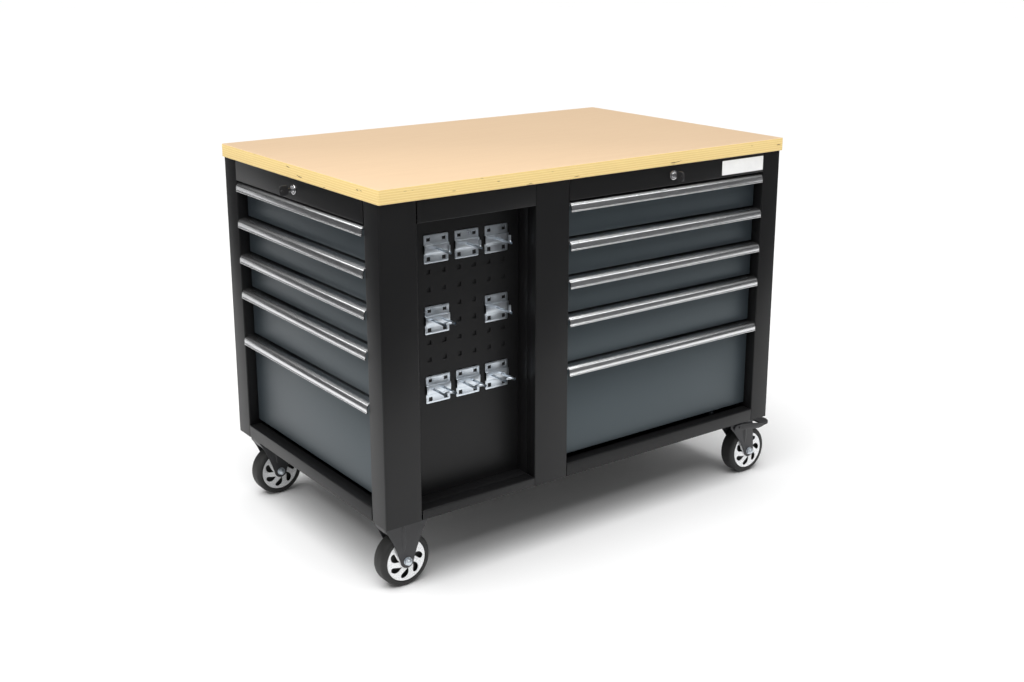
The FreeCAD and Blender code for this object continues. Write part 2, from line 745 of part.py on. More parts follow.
def leg_outline(axle_x, top_x0, top_x1, top_z):
    """A fork leg: wide at the top, drawn in to a round end about the axle."""
    end_radius = 16.0
    axle_point = Vec(axle_x, 0, wheel_radius)
    corners = [Vec(top_x0, 0, top_z), Vec(top_x1, 0, top_z), Vec(top_x1, 0, top_z - 14)]
    for corner, side in ((corners[2], -1), (Vec(top_x0, 0, top_z - 14), 1)):
        line = corner - axle_point
        turn = math.atan2(line.z, line.x) + side * math.acos(end_radius / line.Length)
        touch = axle_point + Vec(math.cos(turn), 0, math.sin(turn)) * end_radius
        corners.append(touch)
    corners.append(Vec(top_x0, 0, top_z - 14))
    return corners, axle_point, end_radius


def fork_leg(axle_x, top_x0, top_x1, top_z, side):
    corners, axle_point, end_radius = leg_outline(axle_x, top_x0, top_x1, top_z)
    inner, outer = side * fork_inner, side * (fork_inner + fork_wall)
    y0 = min(inner, outer)
    push = Vec(0, fork_wall, 0)
    shift = Vec(0, y0, 0)
    leg = join([prism([corner + shift for corner in corners], push),
                rod(axle_point + shift, axle_point + shift + push, end_radius)])
    rib_x = axle_x * 0.6 + (top_x0 + top_x1) * 0.2
    rib = bead(rib_x, side * (fork_inner + fork_wall), wheel_radius + 28, top_z - 10, 2.0)
    rib = rib.cut(box(rib_x - 5, rib_x + 5, -fork_inner, fork_inner, 0, top_z))
    hole = rod(axle_point + shift - push, axle_point + shift + push * 2, axle_radius)
    return join([leg, rib]).cut(hole)


def rigid_bracket():
    """Fixed caster horn: plate, two legs, and skirts that close its sides at the top."""
    top_z = body_bottom - caster_plate_thickness
    legs = [fork_leg(0, -52, 52, top_z, side) for side in (-1, 1)]
    skirts = []
    for side in (-1, 1):
        x0, x1 = side * 52, side * 49.5
        skirts.append(box(min(x0, x1), max(x0, x1), -fork_inner, fork_inner, top_z - 14, top_z))
    return join([mounting_plate()] + legs + skirts)


race_depth = 8.0
race_gap = 0.5                 # ball race, between the plate and the fork's crown
crown_top = body_bottom - caster_plate_thickness - race_depth - race_gap
crown_thickness = 3.0
king_pin_radius = 6.0


def swivel_plate():
    """Mounting plate, the upper ball race pressed under it, and the king pin with its nut."""
    top_z = body_bottom - caster_plate_thickness
    race = Part.makeCone(27, 31, race_depth, Vec(0, 0, top_z - race_depth))
    nut_top = crown_top - crown_thickness - race_gap
    pin = rod(Vec(0, 0, nut_top - 10), Vec(0, 0, top_z - race_depth), king_pin_radius)
    nut = hex_prism(Vec(0, 0, nut_top - 8), 19, Vec(0, 0, 8))
    return join([mounting_plate(), race, pin, nut])


def swivel_fork():
    """Turning fork: crown under the ball race, and legs trailing to the axle."""
    crown = box(-24, 54, -fork_inner, fork_inner, crown_top - crown_thickness, crown_top)
    crown = crown.cut(rod(Vec(0, 0, crown_top - 10), Vec(0, 0, crown_top + 1),
                          king_pin_radius + axle_clearance))
    legs = [fork_leg(caster_trail, -24, 54, crown_top, side) for side in (-1, 1)]
    pins = [rod(Vec(pedal_pivot_x, side * (fork_inner + fork_wall), pedal_pivot_z),
                Vec(pedal_pivot_x, side * 31, pedal_pivot_z), 3.0) for side in (-1, 1)]
    return join([crown] + legs + pins)


pedal_pivot_x = 2.0
pedal_pivot_z = 134.0
pedal_inner = 27.0
pedal_wall = 2.5
pedal_tread_start = 88.0


def brake_pedal():
    """Two arms beside the fork, joined past the wheel by a tread turned up at its end."""
    drop = 10.0
    z_tip = pedal_pivot_z - drop
    arms = []
    for side in (-1, 1):
        y0 = pedal_inner if side > 0 else -pedal_inner - pedal_wall
        outline = [Vec(-14, y0, pedal_pivot_z - 8), Vec(-14, y0, pedal_pivot_z + 8),
                   Vec(pedal_pivot_x + 12, y0, pedal_pivot_z + 9), Vec(pedal_tread_start, y0, z_tip + 4),
                   Vec(pedal_reach - 6, y0, z_tip + 2), Vec(pedal_reach - 6, y0, z_tip - 4),
                   Vec(pedal_tread_start, y0, z_tip - 8), Vec(pedal_pivot_x + 10, y0, pedal_pivot_z - 8)]
        arm = prism(outline, Vec(0, pedal_wall, 0))
        pivot = Vec(pedal_pivot_x, y0, pedal_pivot_z)
        hole = rod(pivot - Vec(0, 1, 0), pivot + Vec(0, pedal_wall + 1, 0), 3.05)
        arms.append(arm.cut(hole))
    half = pedal_inner
    tread = prism([Vec(pedal_tread_start, -half, z_tip + 4), Vec(pedal_reach, -half, z_tip + 1),
                   Vec(pedal_reach, -half, z_tip - 2), Vec(pedal_tread_start, -half, z_tip + 1)],
                  Vec(0, 2 * half, 0))
    edge = -half - pedal_wall
    corners = [Vec(pedal_reach - 6, edge, z_tip + 1.7), Vec(pedal_reach, edge, z_tip + 1),
               Vec(pedal_reach, edge, z_tip - 4), Vec(pedal_reach - 6, edge, z_tip - 4)]
    nose = prism(corners, Vec(0, 2 * (half + pedal_wall), 0))
    return join([tread, nose] + arms)


def at(x, y):
    return FreeCAD.Placement(Vec(x, y, 0), FreeCAD.Rotation())


left_axles = []
for end, side in (("front", -1), ("rear", 1)):
    spot = at(-caster_x, side * caster_y)
    save("caster_bracket_%s_left" % end, placed(rigid_bracket(), spot))
    save("wheel_%s_left" % end, placed(wheel_body(0), spot))
    save("wheel_covers_%s_left" % end, *[placed(wheel_cover(0, face), spot) for face in (-1, 1)])
    left_axles.append(placed(axle(0), spot))
    spot = at(caster_x, side * caster_y)
    save("caster_plate_%s_right" % end, placed(swivel_plate(), spot))
    save("caster_fork_%s_right" % end, placed(swivel_fork(), spot))
    save("brake_pedal_%s_right" % end, placed(brake_pedal(), spot))
    save("wheel_%s_right" % end, placed(wheel_body(caster_trail), spot))
    save("wheel_covers_%s_right" % end,
         *[placed(wheel_cover(caster_trail, face), spot) for face in (-1, 1)])
    save("axle_%s_right" % end, placed(axle(caster_trail), spot))
save("axles_left", *left_axles)
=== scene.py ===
import json
import math
import bpy
from mathutils import Matrix, Vector


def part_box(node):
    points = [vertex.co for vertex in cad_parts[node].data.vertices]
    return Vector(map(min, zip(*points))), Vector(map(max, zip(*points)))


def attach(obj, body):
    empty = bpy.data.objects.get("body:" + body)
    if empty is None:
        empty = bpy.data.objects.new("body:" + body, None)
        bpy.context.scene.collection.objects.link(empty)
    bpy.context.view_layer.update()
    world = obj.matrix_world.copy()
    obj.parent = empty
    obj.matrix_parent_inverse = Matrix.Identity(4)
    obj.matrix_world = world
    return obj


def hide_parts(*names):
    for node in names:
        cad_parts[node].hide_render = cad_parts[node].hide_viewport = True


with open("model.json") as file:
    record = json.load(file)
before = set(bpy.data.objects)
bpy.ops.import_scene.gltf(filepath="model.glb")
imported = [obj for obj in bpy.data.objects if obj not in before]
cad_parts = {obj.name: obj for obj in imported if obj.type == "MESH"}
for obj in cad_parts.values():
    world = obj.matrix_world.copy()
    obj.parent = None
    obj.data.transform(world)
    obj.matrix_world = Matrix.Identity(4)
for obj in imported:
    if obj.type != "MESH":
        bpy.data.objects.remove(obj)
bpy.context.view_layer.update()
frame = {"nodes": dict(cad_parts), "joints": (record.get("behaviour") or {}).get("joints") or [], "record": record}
nodes = frame["nodes"]
mm = 0.001


# ---- worktop ----------------------------------------------
# A 30 mm birch plywood board, sanded and clear lacquered, screwed on from below.
# Its edges are only broken with sandpaper, so the glued layers show as stripes.
board_low, board_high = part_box("worktop")
board_corner = 3.0 * mm
board_edge = 1.1 * mm
layer = 2.5 * mm


def select_none():
    """The frame leaves its nodes selected, and an operator acts on all of them."""
    if bpy.context.mode != "OBJECT":
        bpy.ops.object.mode_set(mode="OBJECT")
    bpy.ops.object.select_all(action="DESELECT")


def take_up(piece):
    select_none()
    piece.select_set(True)
    bpy.context.view_layer.objects.active = piece


def settle(piece):
    """Leaves the piece's place in its mesh."""
    take_up(piece)
    bpy.ops.object.transform_apply(location=True, rotation=True, scale=True)
    return piece


def block(name, low, high):
    """A rectangular blank between two corners."""
    low, high = Vector(low), Vector(high)
    select_none()
    bpy.ops.mesh.primitive_cube_add(size=1, location=(low + high) / 2, scale=high - low)
    piece = bpy.context.object
    piece.name = name
    return settle(piece)


def pick(piece, kind, wanted):
    """Opens the piece for editing with only the wanted edges or faces selected."""
    take_up(piece)
    bpy.ops.object.mode_set(mode="EDIT")
    bpy.ops.mesh.select_mode(type=kind)
    bpy.ops.mesh.select_all(action="DESELECT")
    bpy.ops.object.mode_set(mode="OBJECT")
    for part in piece.data.edges if kind == "EDGE" else piece.data.polygons:
        part.select = bool(wanted(part))
    bpy.ops.object.mode_set(mode="EDIT")


def pick_edges(piece, wanted):
    """Picks edges by the places of their two ends."""
    def chosen(edge):
        return wanted(*(piece.data.vertices[end].co for end in edge.vertices))
    pick(piece, "EDGE", chosen)


def round_edges(piece, wanted, radius, segments):
    pick_edges(piece, wanted)
    bpy.ops.mesh.bevel(offset=radius, segments=segments)
    bpy.ops.object.mode_set(mode="OBJECT")
    return piece


def work(piece, kind, **settings):
    """Adds a modifier and applies it."""
    take_up(piece)
    modifier = piece.modifiers.new("work", kind)
    for setting, value in settings.items():
        setattr(modifier, setting, value)
    bpy.ops.object.modifier_apply(modifier=modifier.name)
    return piece


def break_edges(piece, width, segments=2, angle=35):
    """Takes the sharpness off every edge that turns more than the angle."""
    return work(piece, "BEVEL", width=width, segments=segments, limit_method="ANGLE",
                angle_limit=math.radians(angle), harden_normals=False)


def smooth(piece, angle=40):
    take_up(piece)
    bpy.ops.object.shade_smooth_by_angle(angle=math.radians(angle))
    return piece


def add_node(tree, kind, wires, **settings):
    made = tree.nodes.new("ShaderNode" + kind)
    for setting, value in settings.items():
        setattr(made, setting, value)
    for socket, value in wires.items():
        if isinstance(value, bpy.types.NodeSocket):
            tree.links.new(value, made.inputs[socket])
        else:
            made.inputs[socket].default_value = value
    return made


class Finish:
    """A surface finish, built up node by node on object coordinates."""
    def __init__(self, name, **sockets):
        self.material = bpy.data.materials.new(name)
        self.material.use_nodes = True
        self.tree = self.material.node_tree
        self.shader = self.tree.nodes["Principled BSDF"]
        self.place = self.tree.nodes.new("ShaderNodeTexCoord").outputs["Object"]
        for socket, value in sockets.items():
            self.shader.inputs[socket.replace("_", " ")].default_value = value

    def node(self, kind, wires, **settings):
        return add_node(self.tree, kind, wires, **settings)

    def stretched(self, x, y, z):
        return self.node("Mapping", {"Vector": self.place, "Scale": (x, y, z)}).outputs["Vector"]

    def noise(self, scale, detail=3.0, roughness=0.55, at=None):
        wires = {"Vector": at or self.place, "Scale": scale, "Detail": detail, "Roughness": roughness}
        return self.node("TexNoise", wires).outputs["Fac"]

    def ramp(self, value, stops):
        made = self.node("ValToRGB", {"Fac": value})
        elements = made.color_ramp.elements
        while len(elements) < len(stops):
            elements.new(0.5)
        for element, (position, colour) in zip(elements, stops):
            element.position = position
            element.color = (*colour, 1) if len(colour) == 3 else (colour[0],) * 3 + (1,)
        return made.outputs["Color"]

    def blend(self, value, first, second):
        made = self.node("Mix", {}, data_type="RGBA")
        for index, given in ((0, value), (6, first), (7, second)):
            if isinstance(given, bpy.types.NodeSocket):
                self.tree.links.new(given, made.inputs[index])
            else:
                made.inputs[index].default_value = given if index == 0 else (*given, 1)
        return made.outputs[2]

    def sums(self, operation, *values):
        return self.node("Math", dict(enumerate(values)), operation=operation).outputs[0]

    def span(self, value, low, high):
        """Spreads a value from 0 to 1 over a range, for roughness."""
        return self.node("MapRange", {"Value": value, "To Min": low, "To Max": high}).outputs["Result"]

    def bump(self, height, strength, distance):
        wires = {"Height": height, "Strength": strength, "Distance": distance}
        if self.shader.inputs["Normal"].links:
            wires["Normal"] = self.shader.inputs["Normal"].links[0].from_socket
        self.give("Normal", self.node("Bump", wires).outputs["Normal"])

    def give(self, socket, value):
        self.tree.links.new(value, self.shader.inputs[socket])

    def shades(self, pattern, dark, light):
        """A colour that follows a pattern from dark to light."""
        return self.ramp(pattern, [(0.3, dark), (0.7, light)])

    def dull(self, pattern, low, high):
        self.give("Roughness", self.span(pattern, low, high))

    def edge_wear(self, radius, colour_in, worn, amount):
        """Lightens a colour where the surface turns sharply, as paint wears on an edge."""
        rounded = self.node("Bevel", {"Radius": radius}, samples=4).outputs["Normal"]
        true = self.tree.nodes.new("ShaderNodeNewGeometry").outputs["Normal"]
        turn = self.node("VectorMath", {0: rounded, 1: true}, operation="DOT_PRODUCT").outputs["Value"]
        sharp = self.ramp(turn, [(0.80, (1.0,)), (0.985, (0.0,))])
        patchy = self.sums("MULTIPLY", sharp, self.noise(160.0, 3.0))
        return self.blend(self.sums("MULTIPLY", patchy, amount), colour_in, worn)


def coat(piece, *finishes):
    """Gives a piece its finishes, the first one all over."""
    piece.data.materials.clear()
    for finish in finishes:
        piece.data.materials.append(finish.material)
    return piece


def fit(piece, body, slot, *stands_for):
    """Puts a finished piece on its body in the place of the frame's own nodes."""
    settle(piece)
    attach(piece, body)
    if stands_for:
        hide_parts(*stands_for)
    return piece


board_face = Finish("worktop_face", Roughness=0.42, Coat_Weight=0.12, Coat_Roughness=0.3)
long_grain = board_face.noise(9.0, 5.0, 0.6, board_face.stretched(1.0, 9.0, 9.0))
fine_grain = board_face.noise(60.0, 4.0, 0.7, board_face.stretched(1.0, 14.0, 14.0))
cloudy = board_face.noise(2.6, 2.0)
face_colour = board_face.ramp(long_grain, [(0.25, (0.76, 0.545, 0.345)), (0.75, (0.80, 0.585, 0.375))])
face_colour = board_face.blend(board_face.span(fine_grain, 0.0, 0.16), face_colour, (0.70, 0.49, 0.30))
face_colour = board_face.blend(board_face.span(cloudy, 0.0, 0.3), face_colour, (0.82, 0.61, 0.41))
board_face.give("Base Color", face_colour)
board_face.dull(fine_grain, 0.36, 0.52)
board_face.bump(fine_grain, 0.10, 0.0004)

board_rim = Finish("worktop_layers", Roughness=0.55)
height = board_rim.node("SeparateXYZ", {"Vector": board_rim.place}).outputs["Z"]
waver = board_rim.sums("MULTIPLY", board_rim.noise(7.0, 2.0), 0.0016)
within = board_rim.sums("FRACT", board_rim.sums("DIVIDE", board_rim.sums("ADD", height, waver), 2 * layer))
stripes = board_rim.ramp(within, [(0.0, (0.58, 0.38, 0.13)), (0.05, (0.84, 0.62, 0.24)),
                                  (0.46, (0.88, 0.68, 0.30)), (0.50, (0.52, 0.33, 0.11)),
                                  (0.55, (0.78, 0.55, 0.20)), (0.97, (0.76, 0.53, 0.19))])
fibres = board_rim.noise(240.0, 3.0, 0.7, board_rim.stretched(1.0, 1.0, 6.0))
rim_colour = board_rim.blend(board_rim.span(fibres, 0.0, 0.45), stripes, (0.93, 0.74, 0.36))
knots = board_rim.noise(22.0, 2.0, 0.5, board_rim.stretched(1.0, 1.0, 9.0))
gaps = board_rim.ramp(knots, [(0.715, (0.0,)), (0.745, (1.0,))])
rim_colour = board_rim.blend(gaps, rim_colour, (0.16, 0.08, 0.025))
board_rim.give("Base Color", rim_colour)
board_rim.dull(fibres, 0.5, 0.7)
board_rim.bump(within, 0.25, 0.0003)
board_rim.bump(fibres, 0.2, 0.0003)

worktop = block("worktop_board", board_low, board_high)
round_edges(worktop, lambda a, b: abs(a.z - b.z) > 10 * mm, board_corner, 5)
round_edges(worktop, lambda a, b: abs(a.z - b.z) < mm, board_edge, 3)
coat(worktop, board_face, board_rim)
pick(worktop, "FACE", lambda face: abs(face.normal.z) < 0.6)
worktop.active_material_index = 1
bpy.ops.object.material_slot_assign()
bpy.ops.object.mode_set(mode="OBJECT")
fit(smooth(worktop, 50), "cabinet", "worktop_ply", "worktop")


# ---- cabinet sheets ---------------------------------------
# Posts, rails and sides are strips of 1.5 mm steel folded on a brake, hung together at
# the seams and powder coated black. Folds are round outside, and cut edges are dulled.
sheet = 1.5 * mm
fold_radius = 1.6 * mm
corner_low, corner_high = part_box("corner_front_left")
post_low, post_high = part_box("post_centre")
side_low, side_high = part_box("side_right")
back_low, back_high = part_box("back_panel")
pan_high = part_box("base_pan")[1]
rail_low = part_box("top_frame")[0].z
left, front, bottom, top = corner_low.x, corner_low.y, corner_low.z, corner_high.z
right, back = side_high.x, side_high.y
recess_left, recess_right = corner_high.x, post_low.x
bank_left, bank_right = post_high.x, side_low.x
end_near, end_far = corner_high.y, back_low.y
return_end = post_high.y
recess_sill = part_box("recess_liner")[0].z + 2 * sheet
drawer_sill = pan_high.z
return_depth = 30.0 * mm
half = sheet / 2


def draw_out(way):
    """Extrudes whatever is selected."""
    bpy.ops.mesh.extrude_region_move(TRANSFORM_OT_translate={"value": way})


def folded(name, line, run, radius=fold_radius, thickness=sheet, segments=4):
    """Folds a strip: each flange is drawn out of the last one's edge, the folds are rounded
    and the strip gets its thickness. The line is the middle of the sheet."""
    line, run = [Vector(point) for point in line], Vector(run)
    across = line[1] - line[0]
    turn = Matrix((across.normalized(), run.normalized(), across.cross(run).normalized())).transposed()
    select_none()
    bpy.ops.mesh.primitive_plane_add(size=1, location=(line[0] + line[1] + run) / 2, rotation=turn.to_euler())
    piece = bpy.context.object
    piece.name = name
    piece.scale = (across.length, run.length, 1)
    settle(piece)

    def near(point, spot):
        gap = point - spot
        return (gap - gap.project(run)).length < 0.01 * mm

    pick_edges(piece, lambda a, b: near(a, line[1]) and near(b, line[1]))
    for start, end in zip(line[1:], line[2:]):
        draw_out(end - start)
    round_edges(piece, lambda a, b: any(near(a, spot) and near(b, spot) for spot in line[1:-1]),
                radius, segments)
    work(piece, "SOLIDIFY", thickness=thickness, offset=0, use_even_offset=True)
    return break_edges(piece, 0.3 * mm, 2, 50)


def as_one(name, *pieces):
    """Welds or rivets several parts into one piece."""
    select_none()
    for piece in pieces:
        piece.select_set(True)
    bpy.context.view_layer.objects.active = pieces[0]
    if len(pieces) > 1:
        bpy.ops.object.join()
    pieces[0].name = name
    return pieces[0]


def cylinder(name, start, end, radius, sides=48):
    start, end = Vector(start), Vector(end)
    turn = (end - start).to_track_quat("Z", "Y").to_euler()
    select_none()
    bpy.ops.mesh.primitive_cylinder_add(vertices=sides, radius=radius, depth=(end - start).length,
                                        location=(start + end) / 2, rotation=turn)
    piece = bpy.context.object
    piece.name = name
    return settle(piece)


def cut(piece, tool):
    """Cuts the tool's shape out of the piece and throws the tool away."""
    work(piece, "BOOLEAN", operation="DIFFERENCE", object=tool, solver="EXACT")
    bpy.data.objects.remove(tool)
    return piece


def bore(piece, start, end, radius, sides=48):
    return cut(piece, cylinder("drill", start, end, radius, sides))


body_coat = Finish("cabinet_powder_coat", Roughness=0.44, Specular_IOR_Level=0.28)
peel = body_coat.noise(900.0, 2.0)
shade = body_coat.noise(3.0, 2.0)
body_colour = body_coat.shades(shade, (0.0065, 0.0065, 0.0070), (0.0085, 0.0085, 0.0090))
body_coat.give("Base Color", body_coat.edge_wear(0.7 * mm, body_colour, (0.040, 0.040, 0.043), 0.8))
body_coat.dull(peel, 0.34, 0.46)
body_coat.bump(peel, 0.12, 0.00012)


def hang(piece, node):
    """Coats a cabinet sheet black and hangs it in its place."""
    return fit(smooth(coat(piece, body_coat)), "cabinet", "body_black", node)


# Each line is the plan of a sheet, through the middle of its thickness. The end flanges of
# the corner and of the back return inwards beside the end drawers.
corner_fold = 3.6 * mm
skin_left, skin_front, skin_right, skin_back = left + half, front + half, right - half, back - half
end_return = left + return_end - front
for name, node, radius, line in (
        ("corner", "corner_front_left", corner_fold,
         ((end_return, end_near - half), (skin_left, end_near - half), (skin_left, skin_front),
          (recess_left - half, skin_front), (recess_left - half, front + return_depth))),
        ("post", "post_centre", fold_radius,
         ((recess_right + half, front + return_depth), (recess_right + half, skin_front),
          (bank_left - half, skin_front), (bank_left - half, return_end))),
        ("side", "side_right", fold_radius,
         ((bank_right + half, return_end), (bank_right + half, skin_front), (skin_right, skin_front),
          (skin_right, skin_back), (right - return_depth, skin_back))),
        ("back", "back_panel", fold_radius,
         ((back_high.x, skin_back), (skin_left, skin_back), (skin_left, end_far + half),
          (end_return, end_far + half)))):
    hang(folded(name + "_sheet", [(x, y, bottom) for x, y in line], (0, 0, top - bottom), radius), node)

# The rails along the top carry the deck, and the sills along the bottom the base pan. Each
# is folded in behind, butts against the posts with a hair's gap, and is welded inside.
seam = 0.6 * mm
rails = [block("deck", (left + sheet, front + sheet, top - sheet),
               (right - sheet, back - sheet, top - 0.1 * mm))]
sills = [block("pan", (left + sheet, front + sheet, bottom + 0.3 * mm),
               (right - sheet, back - sheet, bottom + sheet))]


def front_rail(start):
    return lambda depth, z: (start + seam, front + depth, z)


def end_rail(depth, z):
    return left + depth, end_near + seam, z


for at, run, sill in ((front_rail(recess_left), (recess_right - recess_left - 2 * seam, 0, 0), recess_sill),
                      (front_rail(bank_left), (bank_right - bank_left - 2 * seam, 0, 0), drawer_sill),
                      (end_rail, (0, end_far - end_near - 2 * seam, 0), drawer_sill)):
    for made, name, fold_z, edge_z in ((rails, "rail", rail_low + half, top - half),
                                       (sills, "sill", sill - half, bottom + half)):
        made.append(folded(name, [at(return_depth, fold_z), at(half, fold_z), at(half, edge_z)], run))

lock_spots, inward = {}, {}
for joint in frame["joints"]:
    if joint["name"].startswith("key_"):
        name = joint["child"].removeprefix("key_")
        lock_spots[name], inward[name] = Vector(joint["pos_m"]), Vector(joint["axis"])
bank_names = ("front", "end")
lock_hole = 9.7 * mm
deck, pan = as_one("top_rails", *rails), as_one("base_sills", *sills)
for name in bank_names:
    spot, way = lock_spots[name], inward[name]
    bore(deck, spot - way * 5 * mm, spot + way * 5 * mm, lock_hole)
hang(deck, "top_frame")
hang(pan, "base_pan")


# ---- tool recess ------------------------------------------
# Between the corner and the centre post the cabinet steps in: a lining of folded sheet
# runs back to a panel punched with square holes on a 38 mm grid, plain at the bottom.
panel_low, panel_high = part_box("peg_panel")
grid_middle = Vector(next(m for m in frame["record"]["mounts"] if m["name"] == "peg_grid")["pos_m"])
pitch, hole, columns, rows = 38.0 * mm, 9.5 * mm, 6, 10


def leave_out(piece, wanted):
    """Takes the wanted faces away."""
    pick(piece, "FACE", wanted)
    bpy.ops.mesh.delete(type="FACE")
    bpy.ops.object.mode_set(mode="OBJECT")
    return piece


lining = block("recess_lining", (recess_left - 1.5 * sheet, front + return_depth, recess_sill - 1.5 * sheet),
               (recess_right + 1.5 * sheet, panel_low.y, rail_low + 1.5 * sheet))
leave_out(lining, lambda face: abs(face.normal.y) > 0.5)
work(lining, "SOLIDIFY", thickness=sheet, offset=0, use_even_offset=True)
hang(break_edges(lining, 0.4 * mm, 2), "recess_liner")

first = grid_middle + Vector((-(columns - 1) / 2 * pitch, 0, (rows - 1) / 2 * pitch))
first.y = panel_low.y
select_none()
bpy.ops.mesh.primitive_plane_add(size=pitch, location=first, rotation=(math.radians(90), 0, 0))
panel = bpy.context.object
panel.name = "punched_panel"
settle(panel)
pick(panel, "FACE", lambda face: True)
bpy.ops.mesh.inset(thickness=(pitch - hole) / 2, depth=0)
bpy.ops.mesh.delete(type="FACE")
bpy.ops.object.mode_set(mode="OBJECT")
for count, step in ((columns, (pitch, 0, 0)), (rows, (0, 0, -pitch))):
    work(panel, "ARRAY", count=count, use_relative_offset=False, use_constant_offset=True,
         constant_offset_displace=step, use_merge_vertices=True, merge_threshold=0.02 * mm)
for axis, edge_at, reach in ((0, first.x - pitch / 2, panel_low.x),
                             (0, first.x + (columns - 0.5) * pitch, panel_high.x),
                             (2, first.z + pitch / 2, panel_high.z),
                             (2, first.z - (rows - 0.5) * pitch, panel_low.z)):
    pick_edges(panel, lambda *ends: all(abs(end[axis] - edge_at) < 0.05 * mm for end in ends))
    step = [0.0, 0.0, 0.0]
    step[axis] = reach - edge_at
    draw_out(step)
    bpy.ops.object.mode_set(mode="OBJECT")
work(panel, "SOLIDIFY", thickness=sheet, offset=-1, use_even_offset=True)
hang(break_edges(panel, 0.25 * mm, 1), "peg_panel")


# ---- inside walls and slides ------------------------------
# Plain sheet walls stand each side of both banks. Zinc-plated ball slides are riveted to
# them, one pair for each drawer. They show only when the drawers are open.
zinc = Finish("zinc_plate", Metallic=1.0, Roughness=0.30)
spangle = zinc.noise(38.0, 3.0, 0.6)
cloud = zinc.noise(240.0, 2.0)
zinc_colour = zinc.shades(spangle, (0.60, 0.66, 0.72), (0.74, 0.79, 0.84))
zinc.give("Base Color", zinc.blend(zinc.span(cloud, 0.0, 0.3), zinc_colour, (0.66, 0.70, 0.74)))
zinc.dull(spangle, 0.22, 0.40)
zinc.bump(cloud, 0.08, 0.0001)
for name in ("slide_rails_front", "slide_rails_end", "fasteners", "lock_bar_front", "lock_bar_end"):
    coat(nodes[name], zinc)
coat(nodes["runner_panels"], body_coat)


# ---- drawers ----------------------------------------------
# Each is a pan-shaped front of 1.2 mm steel, its edges folded back 13 mm, on a tray with
# hemmed sides. All of it is powder coated grey. A slide bar is spot-welded to each side.
tray_sheet, front_fold, hem_width = 1.2 * mm, 13.0 * mm, 3.0 * mm
slide_room, runner_inset, front_gap = 12.7 * mm, 12.0 * mm, 3.5 * mm
bar_sheet, bar_middle, bar_half = 1.2 * mm, (9 + 17.5) * mm, (35.0 / 2 - 1.2 - 3.8 - 0.6) * mm
tray_share = 0.74


class Bank:
    """One bank of drawers, drawn with its fronts facing -Y and then turned into place."""
    def __init__(self, name, first_drawer, turn, slide_length):
        low, high = first_drawer
        size = high - low
        wide, self.depth = (size.x, size.y) if turn == 0 else (size.y, size.x)
        self.name, self.slide_length = name, slide_length
        self.front = wide / 2
        self.tray = self.front + front_gap - runner_inset - slide_room
        middle = (low + high) / 2
        origin = (middle.x, low.y, 0) if turn == 0 else (low.x, middle.y, 0)
        self.place = Matrix.Translation(origin) @ Matrix.Rotation(math.radians(turn), 4, "Z")

    def stand(self, piece):
        piece.matrix_world = self.place @ piece.matrix_world
        return settle(piece)


banks = (Bank("front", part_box("drawer_front_1"), 0, 550 * mm),
         Bank("end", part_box("drawer_end_1"), -90, 400 * mm))

drawer_coat = Finish("drawer_powder_coat", Roughness=0.42, Specular_IOR_Level=0.75,
                     Specular_Tint=(0.80, 0.94, 1.0, 1.0))
grain = drawer_coat.noise(850.0, 2.0)
drift = drawer_coat.noise(2.5, 2.0)
drawer_colour = drawer_coat.shades(drift, (0.024, 0.031, 0.037), (0.028, 0.036, 0.042))
drawer_coat.give("Base Color", drawer_coat.edge_wear(0.6 * mm, drawer_colour, (0.16, 0.18, 0.19), 0.7))
drawer_coat.dull(grain, 0.34, 0.46)
drawer_coat.bump(grain, 0.14, 0.00012)


def open_box(name, low, high, missing):
    """A box blank with one side left out, folded from sheet with its outside at the corners given."""
    piece = leave_out(block(name, low, high), lambda face: face.normal.dot(Vector(missing)) > 0.5)
    round_edges(piece, lambda a, b: True, 1.0 * mm, 3)
    work(piece, "SOLIDIFY", thickness=tray_sheet, offset=-1, use_even_offset=True)
    return break_edges(piece, 0.2 * mm, 1, 50)


def drawer(bank, number):
    node = "drawer_%s_%d" % (bank.name, number)
    low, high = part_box(node)[0].z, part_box(node)[1].z
    tray_floor = low + 6 * mm
    tray_rim = tray_floor + tray_share * (high - low)
    t = tray_sheet
    parts = [open_box("front_pan", (-bank.front, 0, low), (bank.front, front_fold, high), (0, 1, 0)),
             open_box("tray", (-bank.tray, front_fold - t, tray_floor),
                      (bank.tray, bank.depth, tray_rim), (0, 0, 1)),
             block("inner_skin", (-bank.front + t, front_fold - 2.2 * t, tray_floor + 0.5 * mm),
                   (bank.front - t, front_fold - 1.2 * t, high - t))]
    middle = tray_floor + bar_middle
    for side in (-1, 1):
        rim_x = sorted((side * (bank.tray + hem_width), side * (bank.tray - t)))
        hem = block("hem", (rim_x[0], front_fold, tray_rim - t), (rim_x[1], bank.depth, tray_rim))
        parts.append(break_edges(hem, 0.5 * mm, 2))
        plate, lip = side * (bank.tray + bar_sheet / 2), side * (bank.tray + slide_room - 3.2 * mm)
        line = [(x, front_fold + 6 * mm, middle + z)
                for x, z in ((lip, bar_half), (plate, bar_half), (plate, -bar_half), (lip, -bar_half))]
        bar = folded("slide_bar", line, (0, bank.slide_length, 0), 1.0 * mm, bar_sheet, 2)
        parts.append(coat(bar, zinc))
    for part in parts:
        if not part.data.materials:
            coat(part, drawer_coat)
    piece = bank.stand(as_one(node + "_body", *parts))
    return fit(smooth(piece), node, "drawer_grey", node)


for bank in banks:
    for number in range(1, 6):
        drawer(bank, number)


# ---- drawer pulls -----------------------------------------
# A full-width aluminium extrusion: a flat web screwed to the drawer's top edge, a round
# nose to hook the fingers behind, and a bead along its lower edge. Brushed lengthways.
pull_reach, pull_height, pull_wall, tab_height = 27 * mm, 22 * mm, 2 * mm, 14 * mm
nose_radius, bead_radius = 12 * mm, 2 * mm


